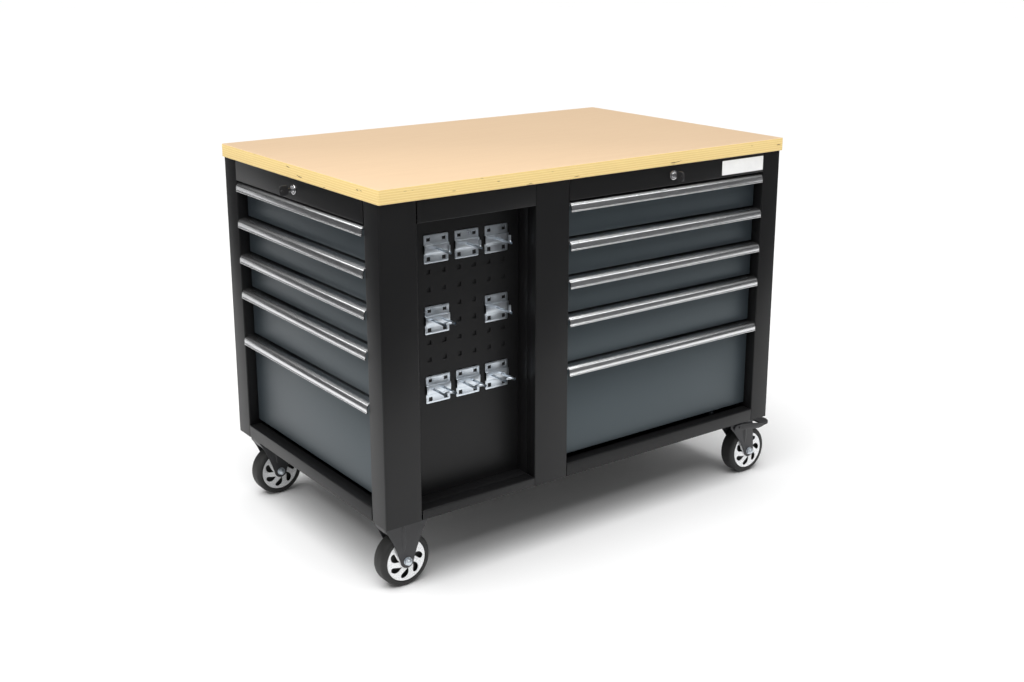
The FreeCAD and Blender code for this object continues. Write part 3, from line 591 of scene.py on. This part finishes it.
def brushed(name, along_x):
    finish = Finish(name, Metallic=1.0, Roughness=0.30, Anisotropic=0.45)
    stretch = (2.0, 260.0, 260.0) if along_x else (260.0, 2.0, 260.0)
    lines = finish.noise(6.0, 4.0, 0.7, finish.stretched(*stretch))
    dull = finish.noise(14.0, 2.0)
    worn = finish.sums("ADD", finish.sums("MULTIPLY", lines, 0.7), finish.sums("MULTIPLY", dull, 0.3))
    finish.give("Base Color", finish.shades(lines, (0.66, 0.67, 0.68), (0.76, 0.765, 0.77)))
    finish.dull(worn, 0.18, 0.32)
    finish.bump(lines, 0.12, 0.00008)
    return finish


aluminium = {name: brushed("brushed_aluminium_" + name, name == "front") for name in bank_names}


def pull(bank, number):
    node = "pull_%s_%d" % (bank.name, number)
    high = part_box(node)[1].z
    x, wide = -bank.front, 2 * bank.front
    nose_y = -pull_reach + pull_wall / 2
    web_z, low_z = high - pull_wall / 2, high - pull_height + bead_radius
    skin = folded("pull", [(x, front_fold - 1 * mm, web_z), (x, nose_y, web_z), (x, nose_y, low_z)],
                  (wide, 0, 0), nose_radius, pull_wall, 14)
    bead = cylinder("bead", (x, nose_y, low_z), (x + wide, nose_y, low_z), bead_radius, 24)
    break_edges(bead, 0.4 * mm, 2, 50)
    tab = block("tab", (x, -pull_wall, high - tab_height), (x + wide, 0, high - pull_wall / 2))
    break_edges(tab, 0.3 * mm, 1)
    piece = bank.stand(as_one(node + "_profile", skin, bead, tab))
    coat(piece, aluminium[bank.name])
    return fit(smooth(piece, 35), "drawer_%s_%d" % (bank.name, number), "pull_aluminium", node)


for bank in banks:
    for number in range(1, 6):
        pull(bank, number)


# ---- locks ------------------------------------------------
# A chromed cylinder lock sits in each top rail, held by its flange. The flat key has a
# moulded black bow on a nickel blade, and turns the plug with its cam behind the rail.
chrome = Finish("polished_chrome", Metallic=1.0, Roughness=0.12)
scuffs = chrome.noise(420.0, 3.0)
chrome.give("Base Color", chrome.shades(scuffs, (0.72, 0.72, 0.73), (0.83, 0.83, 0.84)))
chrome.dull(scuffs, 0.07, 0.22)
chrome.bump(scuffs, 0.05, 0.00005)
moulding = Finish("key_moulding", Roughness=0.5)
stipple = moulding.noise(1500.0, 2.0)
moulding.give("Base Color", moulding.shades(stipple, (0.012, 0.012, 0.013), (0.022, 0.022, 0.024)))
moulding.dull(stipple, 0.42, 0.6)
moulding.bump(stipple, 0.2, 0.0001)


def drawn(name, spots):
    """Draws a chain of edges from spot to spot, open for editing and all selected."""
    select_none()
    bpy.ops.mesh.primitive_plane_add(size=mm, location=spots[0])
    piece = bpy.context.object
    piece.name = name
    bpy.ops.object.mode_set(mode="EDIT")
    bpy.ops.mesh.select_mode(type="VERT")
    bpy.ops.mesh.select_all(action="SELECT")
    bpy.ops.mesh.merge(type="CENTER")
    for start, end in zip(spots, spots[1:]):
        draw_out(end - start)
    bpy.ops.mesh.select_all(action="SELECT")
    return piece


def closed(piece, gap=0.002 * mm):
    """Joins doubled points, turns the faces outwards and ends the editing."""
    bpy.ops.mesh.select_all(action="SELECT")
    bpy.ops.mesh.remove_doubles(threshold=gap)
    bpy.ops.mesh.normals_make_consistent(inside=False)
    return settle(piece)


def turned(name, outline, centre, axis, steps):
    """Turns an outline about an axis. Each point is its distance along and out from it."""
    centre, axis = Vector(centre), Vector(axis).normalized()
    out = axis.orthogonal().normalized()
    piece = drawn(name, [centre + axis * along + out * away for along, away in outline])
    bpy.ops.mesh.spin(steps=steps, angle=2 * math.pi, center=centre, axis=axis)
    return closed(piece)


def scaled(outline):
    return [(along * mm, away * mm) for along, away in outline]


ring_outline = scaled([(-0.1, 6.05), (-1.9, 6.1), (-2.3, 6.6), (-2.5, 7.4), (-2.4, 9.4), (-1.9, 10.5),
                       (-1.0, 11.0), (-0.05, 11.0), (-0.05, 9.5), (20.0, 9.5), (20.0, 6.05), (-0.1, 6.05)])
plug_outline = scaled([(22.5, 0.0), (22.5, 6.0), (-2.2, 6.0), (-2.8, 5.4), (-3.0, 4.6), (-3.0, 0.0)])
barrels = [turned("lock_ring", ring_outline, lock_spots[name], inward[name], 72) for name in bank_names]
fit(smooth(coat(as_one("lock_rings", *barrels), chrome), 30), "cabinet", "lock_chrome", "lock_barrels")

for name in bank_names:
    spot = Vector((0, 0, lock_spots[name].z))

    def at(x, y, z):
        return spot + Vector((x, y, z)) * mm

    plug = turned("plug", plug_outline, spot, (0, 1, 0), 48)
    blade = break_edges(block("blade", at(-1.1, -14, -3.8), at(1.1, -2.5, 3.8)), 0.3 * mm, 1)
    arm = break_edges(block("cam", at(-10.0, 21.2, 1.0), at(2.0, 23.2, 9.0)), 0.6 * mm, 2)
    pin = cylinder("cam_pin", at(-6.364, 22, 6.364), at(-6.364, 28.5, 6.364), 2 * mm, 24)
    bow = block("bow", at(-2.4, -34, -11), at(2.4, -13, 11))
    round_edges(bow, lambda a, b: abs(a.x - b.x) > mm, 6.8 * mm, 8)
    bore(bow, at(-6, -29, 0), at(6, -29, 0), 2.5 * mm, 32)
    break_edges(bow, 0.7 * mm, 3, 50)
    for part in (plug, blade, arm, pin):
        coat(part, chrome)
    coat(bow, moulding)
    key = as_one("key_with_plug_" + name, plug, blade, arm, pin, bow)
    facing = math.atan2(-inward[name].x, inward[name].y)
    key.matrix_world = Matrix.Translation(lock_spots[name] - spot) @ Matrix.Rotation(facing, 4, "Z")
    fit(smooth(key, 30), "key_" + name, "key_black", "key_" + name)


# ---- badge ------------------------------------------------
# A plate of gloss white enamel with softened corners. It is stuck on the front rail above
# the drawers, and left blank.
badge_low, badge_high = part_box("badge_plate")
enamel = Finish("white_enamel", Roughness=0.2, Coat_Weight=0.4, Coat_Roughness=0.06)
ripple = enamel.noise(60.0, 2.0)
enamel.give("Base Color", enamel.shades(ripple, (0.86, 0.86, 0.85), (0.90, 0.90, 0.89)))
enamel.dull(ripple, 0.16, 0.28)
enamel.bump(ripple, 0.04, 0.0001)
badge = block("blank_badge", badge_low, badge_high)
round_edges(badge, lambda a, b: abs(a.y - b.y) > 0.5 * mm, 2.0 * mm, 5)
break_edges(badge, 0.35 * mm, 3, 50)
fit(smooth(coat(badge, enamel), 30), "cabinet", "badge_white", "badge_plate")


# ---- tool hooks -------------------------------------------
# Zinc-plated plates, 60 mm square, pressed with a band across the middle and punched with
# four holes whose tongues hang in the panel. A welded wire is a peg, or a loop.
hook_half, band_half, band_rise = 30 * mm, 9.5 * mm, 4 * mm
punch_half, punch_x, punch_z = 4.5 * mm, 19 * mm, 21 * mm
wire, hook_drop, tongue_half, tongue_drop = 2.8 * mm, 8.5 * mm, 3.5 * mm, 8 * mm
peg_bend, peg_tip, loop_radius = 6 * mm, 10 * mm, 12.5 * mm


def score(piece, across, places):
    """Scores the sheet along lines at the places, so that pieces can be taken out."""
    for place in places:
        pick(piece, "FACE", lambda face: True)
        bpy.ops.mesh.bisect(plane_co=across * place, plane_no=across)
        bpy.ops.object.mode_set(mode="OBJECT")


def hook_plate(x, z):
    select_none()
    bpy.ops.mesh.primitive_plane_add(size=2 * hook_half, rotation=(math.radians(90), 0, 0))
    plate = bpy.context.object
    settle(plate)
    bpy.ops.object.mode_set(mode="EDIT")
    bpy.ops.mesh.select_mode(type="VERT")
    bpy.ops.mesh.select_all(action="SELECT")
    bpy.ops.mesh.bevel(offset=2.2 * mm, segments=3, affect="VERTICES")
    bpy.ops.object.mode_set(mode="OBJECT")
    across = [side * punch_x + edge * punch_half for side in (-1, 1) for edge in (-1, 1)]
    low_cuts = [-punch_z - punch_half, -punch_z + punch_half, -band_half]
    score(plate, Vector((1, 0, 0)), across)
    score(plate, Vector((0, 0, 1)), low_cuts + [-cut_at for cut_at in reversed(low_cuts)])
    leave_out(plate, lambda face: abs(abs(face.center.x) - punch_x) < punch_half
              and abs(abs(face.center.z) - punch_z) < punch_half)
    pick(plate, "FACE", lambda face: abs(face.center.z) < band_half)
    draw_out((0, -band_rise, 0))
    leave_out(plate, lambda face: abs(face.normal.x) > 0.9)
    round_edges(plate, lambda a, b: abs(abs(a.z) - band_half) < 0.01 * mm and abs(a.z - b.z) < 0.01 * mm,
                1.2 * mm, 3)
    work(plate, "SOLIDIFY", thickness=sheet, offset=0, use_even_offset=True)
    break_edges(plate, 0.25 * mm, 2, 50)
    tongues = []
    for side in (-1, 1):
        x_low, z_high = side * punch_x - tongue_half, punch_z + punch_half - half
        line = [(x_low, -half, z_high), (x_low, 1.5 * sheet, z_high),
                (x_low, 1.5 * sheet, punch_z + punch_half - tongue_drop)]
        tongues.append(folded("tongue", line, (2 * tongue_half, 0, 0), 0.9 * mm))
    plate = as_one("hook_plate", plate, *tongues)
    plate.matrix_world = Matrix.Translation((x, panel_low.y - half, z))
    return settle(plate)


def bent_wire(start, straight, turn, axis_at, axis, last):
    """A round wire: straight out, round a bend, and straight on, with its end dressed."""
    select_none()
    bpy.ops.mesh.primitive_circle_add(vertices=20, radius=wire, fill_type="NGON", location=start,
                                      rotation=(math.radians(90), 0, 0))
    piece = bpy.context.object
    settle(piece)
    pick(piece, "FACE", lambda face: True)
    draw_out(straight)
    bpy.ops.mesh.spin(steps=12, angle=turn, center=axis_at, axis=axis)
    draw_out(last)
    return break_edges(closed(piece, 0.005 * mm), 0.7 * mm, 2, 60)


def hook_spot(column, row):
    return (first.x + (column + 0.5) * pitch, first.z - (row + 0.5) * pitch - hook_drop)


rise = panel_low.y - sheet - band_rise
for name, places, node in (("peg_hooks", ((0, 0), (2, 0), (4, 0), (4, 4)), "hooks_single"),
                           ("loop_hooks", ((0, 4), (0, 8), (2, 8), (4, 8)), "hooks_loop")):
    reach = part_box(node)[0].y
    hooks = []
    for x, z in (hook_spot(*place) for place in places):
        hooks.append(hook_plate(x, z))
        if node == "hooks_single":
            start, end = Vector((x, rise + 0.5 * mm, z)), Vector((x, reach + wire + peg_bend, z))
            bend = (math.radians(90), end + Vector((0, 0, peg_bend)), (-1, 0, 0), (0, 0, peg_tip))
        else:
            x -= loop_radius
            start, end = Vector((x, rise + 0.5 * mm, z)), Vector((x, reach + wire + loop_radius, z))
            bend = (math.radians(180), end + Vector((loop_radius, 0, 0)), (0, 0, 1), start - end)
        hooks.append(bent_wire(start, end - start, *bend))
    fit(smooth(coat(as_one(name, *hooks), zinc), 35), "cabinet", "zinc", node)


# ---- caster wheels ----------------------------------------
# A solid black tyre with rounded shoulders is moulded on a black core. A bright trim disc
# with seven swept teardrop windows is pressed into the well on each face.
tyre = Finish("black_rubber", Roughness=0.55, Specular_IOR_Level=0.35)
dust = tyre.noise(30.0, 4.0)
pores = tyre.noise(900.0, 3.0)
tyre.give("Base Color", tyre.ramp(dust, [(0.3, (0.014, 0.014, 0.014)), (0.75, (0.028, 0.028, 0.027))]))
tyre.dull(dust, 0.44, 0.66)
tyre.bump(pores, 0.25, 0.00015)
trim = Finish("silver_trim", Metallic=0.35, Roughness=0.26, Coat_Weight=0.3, Coat_Roughness=0.08)
fleck = trim.noise(1300.0, 2.0)
trim.give("Base Color", trim.shades(fleck, (0.84, 0.85, 0.86), (0.89, 0.90, 0.91)))
trim.dull(fleck, 0.2, 0.34)
trim.bump(fleck, 0.04, 0.00005)
near_half = [(-21.0, 5.05), (-21.0, 12.2), (-20.6, 12.5), (-9.0, 13.4), (-9.0, 44.6), (-17.0, 45.4),
             (-17.0, 47.2), (-19.6, 47.6), (-20.0, 48.2), (-20.0, 51.0), (-19.6, 53.6), (-18.4, 56.0),
             (-16.4, 58.1), (-13.9, 59.5), (-11.0, 60.0), (-0.5, 60.0), (-0.3, 59.75)]
far_half = [(-along, away) for along, away in reversed(near_half)]
tyre_outline = scaled(near_half + far_half + near_half[:1])
disc_outline = scaled([(-17.05, 46.3), (-18.6, 46.4), (-19.2, 45.9), (-19.4, 44.8), (-19.0, 43.2),
                       (-18.6, 41.5), (-18.7, 30.0), (-19.2, 20.0), (-19.9, 16.5), (-20.3, 14.6),
                       (-20.2, 13.3), (-19.8, 13.0), (-17.05, 13.0), (-17.05, 46.3)])
window_start, window_length, window_half, windows = 16.5, 24.5, 8.2, 7
window_sweep = math.radians(26)


def cut_plate(name, spots, thickness):
    """A flat plate cut to an outline and given its thickness along a direction."""
    piece = drawn(name, [Vector(spot) for spot in spots])
    bpy.ops.mesh.edge_face_add()
    bpy.ops.mesh.select_all(action="SELECT")
    draw_out(thickness)
    return closed(piece)


def teardrop(centre, turn):
    """The punch for one window: round at the rim end, drawn out and swept towards the hub."""
    points = []
    for step in range(25):
        along = step / 24
        breadth = window_half * math.sin(math.pi * along ** 1.8) ** 0.6
        points.append((window_start + window_length * along, window_sweep * (1 - along) ** 1.5, breadth))
    points += [(away, sweep, -breadth) for away, sweep, breadth in reversed(points[1:-1])]
    spots = []
    for away, sweep, breadth in points:
        angle = turn + sweep
        radial = Vector((math.cos(angle), 0, math.sin(angle)))
        aside = Vector((-math.sin(angle), 0, math.cos(angle)))
        spots.append(Vector(centre) + (radial * away + aside * breadth) * mm)
    return cut_plate("teardrop", spots, (0, 6 * mm, 0))


disc = turned("trim_disc", disc_outline, (0, 0, 0), (0, 1, 0), 96)
punches = [teardrop((0, -21 * mm, 0), 2 * math.pi * window / windows) for window in range(windows)]
cut(disc, as_one("punches", *punches))
break_edges(disc, 0.35 * mm, 2, 50)
coat(disc, trim)
rubber = coat(turned("tyre", tyre_outline, (0, 0, 0), (0, 1, 0), 128), tyre)
smooth(disc, 30)
smooth(rubber, 30)


def copy_of(piece, name, place):
    take_up(piece)
    bpy.ops.object.duplicate()
    made = bpy.context.object
    made.name = name
    made.matrix_world = place @ made.matrix_world
    return settle(made)


for body in ["wheel_%s_%s" % (end, side) for end in ("front", "rear") for side in ("left", "right")]:
    low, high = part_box(body)
    centre = Matrix.Translation((low + high) / 2)
    fit(copy_of(rubber, body + "_tyre", centre), body, "tyre_black", body)
    near = copy_of(disc, body + "_trim", centre)
    far = copy_of(disc, "far_trim", centre @ Matrix.Rotation(math.pi, 4, "Z"))
    fit(as_one(body + "_trim", near, far), body, "cover_silver", body.replace("wheel", "wheel_covers"))
bpy.data.objects.remove(disc)
bpy.data.objects.remove(rubber)


# ---- caster mountings -------------------------------------
# Pressed steel, painted black. The left pair are fixed horns. The right pair swivel on a
# ball race and carry a long foot pedal. Bright bolts with domed nuts are the axles.
caster_coat = Finish("caster_paint", Roughness=0.42, Specular_IOR_Level=0.5)
skin = caster_coat.noise(500.0, 3.0)
patches = caster_coat.noise(18.0, 3.0)
caster_colour = caster_coat.shades(patches, (0.020, 0.020, 0.022), (0.030, 0.030, 0.033))
caster_coat.give("Base Color", caster_coat.edge_wear(0.8 * mm, caster_colour, (0.14, 0.14, 0.145), 0.9))
caster_coat.dull(patches, 0.34, 0.52)
caster_coat.bump(skin, 0.12, 0.0001)
leg_in, leg_out = 22 * mm, 24.5 * mm
plate_under, race_depth, crown_top = bottom - 3 * mm, 8 * mm, 147.5 * mm
pivot_x, pivot_z = 2 * mm, 134 * mm
axle_height, leg_end, leg_top, trail = 60, 16, 14, 44      # millimetres, as are the outlines below


def bolted_plate():
    """The plate that is bolted under the base, with rounded corners and four drilled holes."""
    plate = block("plate", (-52.5 * mm, -42.5 * mm, plate_under), (52.5 * mm, 42.5 * mm, bottom))
    round_edges(plate, lambda a, b: abs(a.z - b.z) > mm, 8 * mm, 6)
    for x, y in ((-40, -32), (-40, 32), (40, -32), (40, 32)):
        bore(plate, (x * mm, y * mm, plate_under - 9 * mm), (x * mm, y * mm, bottom + 9 * mm), 4.3 * mm, 24)
    return break_edges(plate, 0.4 * mm, 2, 50)


def bowed(start, middle, end, steps):
    """Points along a bowed line that leaves towards the middle point and arrives from it."""
    spots = []
    for step in range(steps + 1):
        t = step / steps
        spots.append(tuple((1 - t) ** 2 * p + 2 * t * (1 - t) * q + t * t * r
                           for p, q, r in zip(start, middle, end)))
    return spots


def leg(side, axle_x, left_x, right_x, top_z, left_bow, right_bow):
    """One leg: broad under the crown, drawn in to a round end about the axle, with a pressed rib."""
    round_end = [(axle_x + leg_end * math.cos(turn), axle_height + leg_end * math.sin(turn))
                 for turn in (-math.pi * step / 12 for step in range(1, 12))]
    outline = [(left_x, top_z), (right_x, top_z)]
    outline += bowed((right_x, top_z - leg_top), right_bow, (axle_x + leg_end, axle_height), 9) + round_end
    outline += bowed((axle_x - leg_end, axle_height), left_bow, (left_x, top_z - leg_top), 9)
    start = min(side * leg_in, side * leg_out)
    plate = cut_plate("leg", [(x * mm, start, z * mm) for x, z in outline], (0, leg_out - leg_in, 0))
    break_edges(plate, 0.6 * mm, 3, 50)
    rib_x, rib_low, rib_high = axle_x * 0.7 + (left_x + right_x) * 0.15 - 8, 84, top_z - 6
    select_none()
    bpy.ops.mesh.primitive_uv_sphere_add(segments=28, ring_count=20, radius=1,
                                         location=(rib_x * mm, side * (leg_out - 0.2 * mm),
                                                   (rib_low + rib_high) / 2 * mm),
                                         scale=(5 * mm, 2.3 * mm, (rib_high - rib_low) / 2 * mm))
    return as_one("leg", plate, settle(bpy.context.object))


def hexagon(name, start, end, across):
    return break_edges(cylinder(name, start, end, across / math.sqrt(3), 6), 0.7 * mm, 3, 30)


def axle(axle_x):
    """The axle bolt: a hexagon head behind, a washer and a domed nut in front."""
    def spot(y):
        return Vector((axle_x, y, axle_height)) * mm

    dome = turned("dome", scaled([(-7.2, 0), (-7.0, 1.7), (-6.4, 3.3), (-5.4, 4.8), (-3.9, 6.05), (-2.0, 6.9),
                                  (0.0, 7.2), (1.5, 7.2), (1.5, 0)]), spot(-29.5), (0, 1, 0), 48)
    parts = [cylinder("shank", spot(-24.5), spot(24.5), 5 * mm), dome,
             hexagon("nut", spot(-30.5), spot(-25.5), 16 * mm),
             hexagon("head", spot(25.5), spot(30.5), 16 * mm)]
    for y in (-25.6, 24.4):
        parts.append(break_edges(cylinder("washer", spot(y), spot(y + 1.2), 9.2 * mm), 0.3 * mm, 2))
    return smooth(coat(as_one("axle", *parts), zinc), 30)


plate_top = plate_under / mm
horn_parts = [bolted_plate()]
for side in (-1, 1):
    horn_parts.append(leg(side, 0, -52, 52, plate_top, (-33, 114), (33, 114)))
    skirt_y = leg_out - 0.4 * mm
    skirt = [(side * x * mm, -skirt_y, z * mm) for x, z in ((50.8, plate_top), (50.8, 143), (40.6, 127.6))]
    horn_parts.append(folded("skirt", skirt, (0, 2 * skirt_y, 0), 5 * mm, 2.2 * mm, 5))
horn = smooth(coat(as_one("horn", *horn_parts), caster_coat), 35)

race = turned("race", scaled([(0, 0), (0, 26.2), (0.7, 27.3), (6.9, 30.6), (8, 31), (8, 0)]),
              (0, 0, plate_under - race_depth), (0, 0, 1), 64)
king_pin = cylinder("king_pin", (0, 0, 134 * mm), (0, 0, plate_under - race_depth), 6 * mm, 32)
race_nut = hexagon("race_nut", (0, 0, 136 * mm), (0, 0, 144 * mm), 19 * mm)
head_plate = smooth(coat(as_one("head_plate", bolted_plate(), race, king_pin, race_nut), caster_coat), 35)

crown = block("crown", (-24 * mm, -leg_in, crown_top - 3 * mm), (54 * mm, leg_in, crown_top))
bore(crown, (0, 0, crown_top - 9 * mm), (0, 0, crown_top + 9 * mm), 6.05 * mm, 32)
fork_parts = [break_edges(crown, 0.5 * mm, 2, 50)]
for side in (-1, 1):
    fork_parts.append(leg(side, trail, -24, 54, crown_top / mm, (8, 102), (57, 100)))
    pin = cylinder("pedal_pin", (pivot_x, side * leg_out, pivot_z), (pivot_x, side * 31 * mm, pivot_z),
                   3 * mm, 32)
    fork_parts.append(break_edges(pin, 0.8 * mm, 3))
fork = smooth(coat(as_one("fork", *fork_parts), caster_coat), 35)

# The foot pedal: an arm each side of the fork, and past the wheel a broad round-ended tread.
pedal_parts = []
for side in (-1, 1):
    start = 27 * mm if side > 0 else -29.5 * mm
    rounded_heel = [(-8 + 8 * math.cos(turn), 134 + 8 * math.sin(turn))
                    for turn in (math.pi * (0.5 + step / 10) for step in range(11))]
    outline = rounded_heel + [(10, 126)] + bowed((60, 118), (80, 115.6), (92, 120.4), 4)
    outline += [(104, 121), (104, 125.5)] + bowed((92, 126.5), (70, 131), (30, 139.4), 5) + [(12, 142)]
    arm = cut_plate("arm", [(x * mm, start, z * mm) for x, z in outline], (0, 2.5 * mm, 0))
    bore(arm, (pivot_x, start - mm, pivot_z), (pivot_x, start + 4 * mm, pivot_z), 3.05 * mm, 24)
    pedal_parts.append(break_edges(arm, 0.6 * mm, 2, 50))
round_end = [(96 + 26 * math.sin(turn), -29.5 * math.cos(turn))
             for turn in (math.pi * step / 20 for step in range(21))]
tread_outline = [(88, -29.5)] + round_end + [(88, 29.5)]
tread = cut_plate("tread", [(x * mm, y * mm, 121 * mm) for x, y in tread_outline], (0, 0, 4.6 * mm))
break_edges(tread, 1.4 * mm, 4, 50)
pedal_parts.append(tread)
for place in (98, 104, 110):
    grip = cylinder("grip", Vector((place, -19, 124.9)) * mm, Vector((place, 19, 124.9)) * mm, 1.4 * mm, 20)
    pedal_parts.append(break_edges(grip, 0.5 * mm, 2, 60))
pedal = smooth(coat(as_one("pedal", *pedal_parts), caster_coat), 35)


def under(node):
    """The way to a caster's own place under the cabinet."""
    low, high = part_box(node)
    return Matrix.Translation(((low.x + high.x) / 2, (low.y + high.y) / 2, 0))


axle_left, axle_right = axle(0), axle(trail)
left_axles = []
for end in ("front", "rear"):
    plate_node = "caster_bracket_%s_left" % end
    place = under(plate_node)
    fit(copy_of(horn, "horn_%s_left" % end, place), "cabinet", "caster_black", plate_node)
    left_axles.append(copy_of(axle_left, "axle_%s_left" % end, place))
    plate_node, fork_body, pedal_body = (
        "%s_%s_right" % (kind, end) for kind in ("caster_plate", "fork", "pedal"))
    place = under(plate_node)
    for piece, name, body, slot, node in (
            (head_plate, "head_plate_%s_right" % end, "cabinet", "caster_black", plate_node),
            (fork, fork_body + "_frame", fork_body, "caster_black", "caster_" + fork_body),
            (axle_right, "axle_%s_right_bolt" % end, fork_body, "zinc", "axle_%s_right" % end),
            (pedal, pedal_body + "_lever", pedal_body, "caster_black", "brake_" + pedal_body)):
        fit(copy_of(piece, name, place), body, slot, node)
fit(as_one("left_axle_bolts", *left_axles), "cabinet", "zinc", "axles_left")
for spare in (horn, head_plate, fork, pedal, axle_left, axle_right):
    bpy.data.objects.remove(spare)


# ---- studio -----------------------------------------------
# A pale floor runs out of sight under a wide soft sun. Two low lamps and two long high ones
# stand in front and at the left, and draw the bright lines along the pulls and folds.
select_none()
bpy.ops.mesh.primitive_plane_add(size=60, location=(0, 0, 0))
floor = bpy.context.object
floor.name = "studio_floor"
pale = Finish("pale_floor", Roughness=0.6)
mottle = pale.noise(1.5, 2.0)
pale.give("Base Color", pale.shades(mottle, (0.90, 0.90, 0.90), (0.92, 0.92, 0.92)))
coat(floor, pale)

scene = bpy.context.scene
scene.view_settings.view_transform = "Standard"
world = bpy.data.worlds.new("studio")
world.use_nodes = True
air = world.node_tree
outlook = add_node(air, "TexCoord", {}).outputs["Generated"]
way_up = add_node(air, "SeparateXYZ", {0: outlook}).outputs["Z"]
sky = add_node(air, "MapRange", {"Value": way_up, "From Min": 0.1, "From Max": 0.9,
                                 "To Min": 0.12, "To Max": 0.40}).outputs["Result"]
seen = add_node(air, "LightPath", {}).outputs["Is Camera Ray"]
level = add_node(air, "Mix", {"Factor": seen, "A": sky, "B": 1.0})
air.links.new(level.outputs["Result"], air.nodes["Background"].inputs["Strength"])
air.nodes["Background"].inputs["Color"].default_value = (1.0, 1.0, 1.0, 1)
scene.world = world


for name, location, target, width, height, power in (
        ("front", (0.9, -2.6, 0.9), (0.2, 0, 0.4), 1.8, 0.7, 5),
        ("front_strip", (1.0, -2.3, 2.5), (1.0, -0.3, 0.6), 5.6, 0.35, 18),
        ("left", (-2.9, -0.5, 1.2), (0, 0, 0.4), 1.2, 1.2, 7),
        ("left_strip", (-2.5, 0.9, 2.5), (-0.5, 0.9, 0.6), 4.4, 0.35, 15)):
    lamp = bpy.data.lights.new(name, "AREA")
    lamp.shape = "RECTANGLE"
    lamp.size, lamp.size_y, lamp.energy = width, height, power
    stand = bpy.data.objects.new(name, lamp)
    scene.collection.objects.link(stand)
    stand.location = location
    stand.rotation_euler = (Vector(target) - Vector(location)).to_track_quat("-Z", "Y").to_euler()
    stand.visible_camera = False
bpy.ops.object.light_add(type="SUN", location=(0, 0, 4), rotation=(math.radians(7), math.radians(-13), 0))
daylight = bpy.context.object
daylight.data.energy, daylight.data.angle = 3.0, math.radians(60)

# Two grey cards stand close in front and at the left. Only reflections see them: they hold
# the sheen of the upright faces down, and give the bright metal something dark to mirror.
grey_card = Finish("grey_card", Roughness=0.9)
grey_card.give("Base Color", grey_card.shades(grey_card.noise(2.0), (0.11, 0.11, 0.115), (0.13, 0.13, 0.135)))
for name, low, high in (("front_card", (-3.0, -1.22, 0.07), (4.5, -1.20, 1.3)),
                        ("left_card", (-1.47, -0.9, 0.07), (-1.45, 4.5, 1.3))):
    card = coat(block(name, low, high), grey_card)
    card.visible_camera = card.visible_diffuse = card.visible_shadow = card.visible_transmission = False

# The camera stands off the front left corner, a little above the worktop, and level sideways.
azimuth, elevation = math.radians(-36.29), math.radians(14.9)
stands_at, lens, lens_drop, film = (-1.8025, -2.44925, 1.340), 45.49922, -0.0596, 36.0
backwards = Vector((math.sin(azimuth) * math.cos(elevation), -math.cos(azimuth) * math.cos(elevation),
                    math.sin(elevation)))
sideways = Vector((math.cos(azimuth), math.sin(azimuth), 0))
upwards = backwards.cross(sideways)
camera_data = bpy.data.cameras.new("camera")
camera_data.sensor_width, camera_data.lens, camera_data.shift_y = film, lens, lens_drop
camera = bpy.data.objects.new("camera", camera_data)
scene.collection.objects.link(camera)
camera.matrix_world = (Matrix.Translation(stands_at)
                       @ Matrix((sideways, upwards, backwards)).transposed().to_4x4())
scene.camera = camera

bpy.context.view_layer.update()
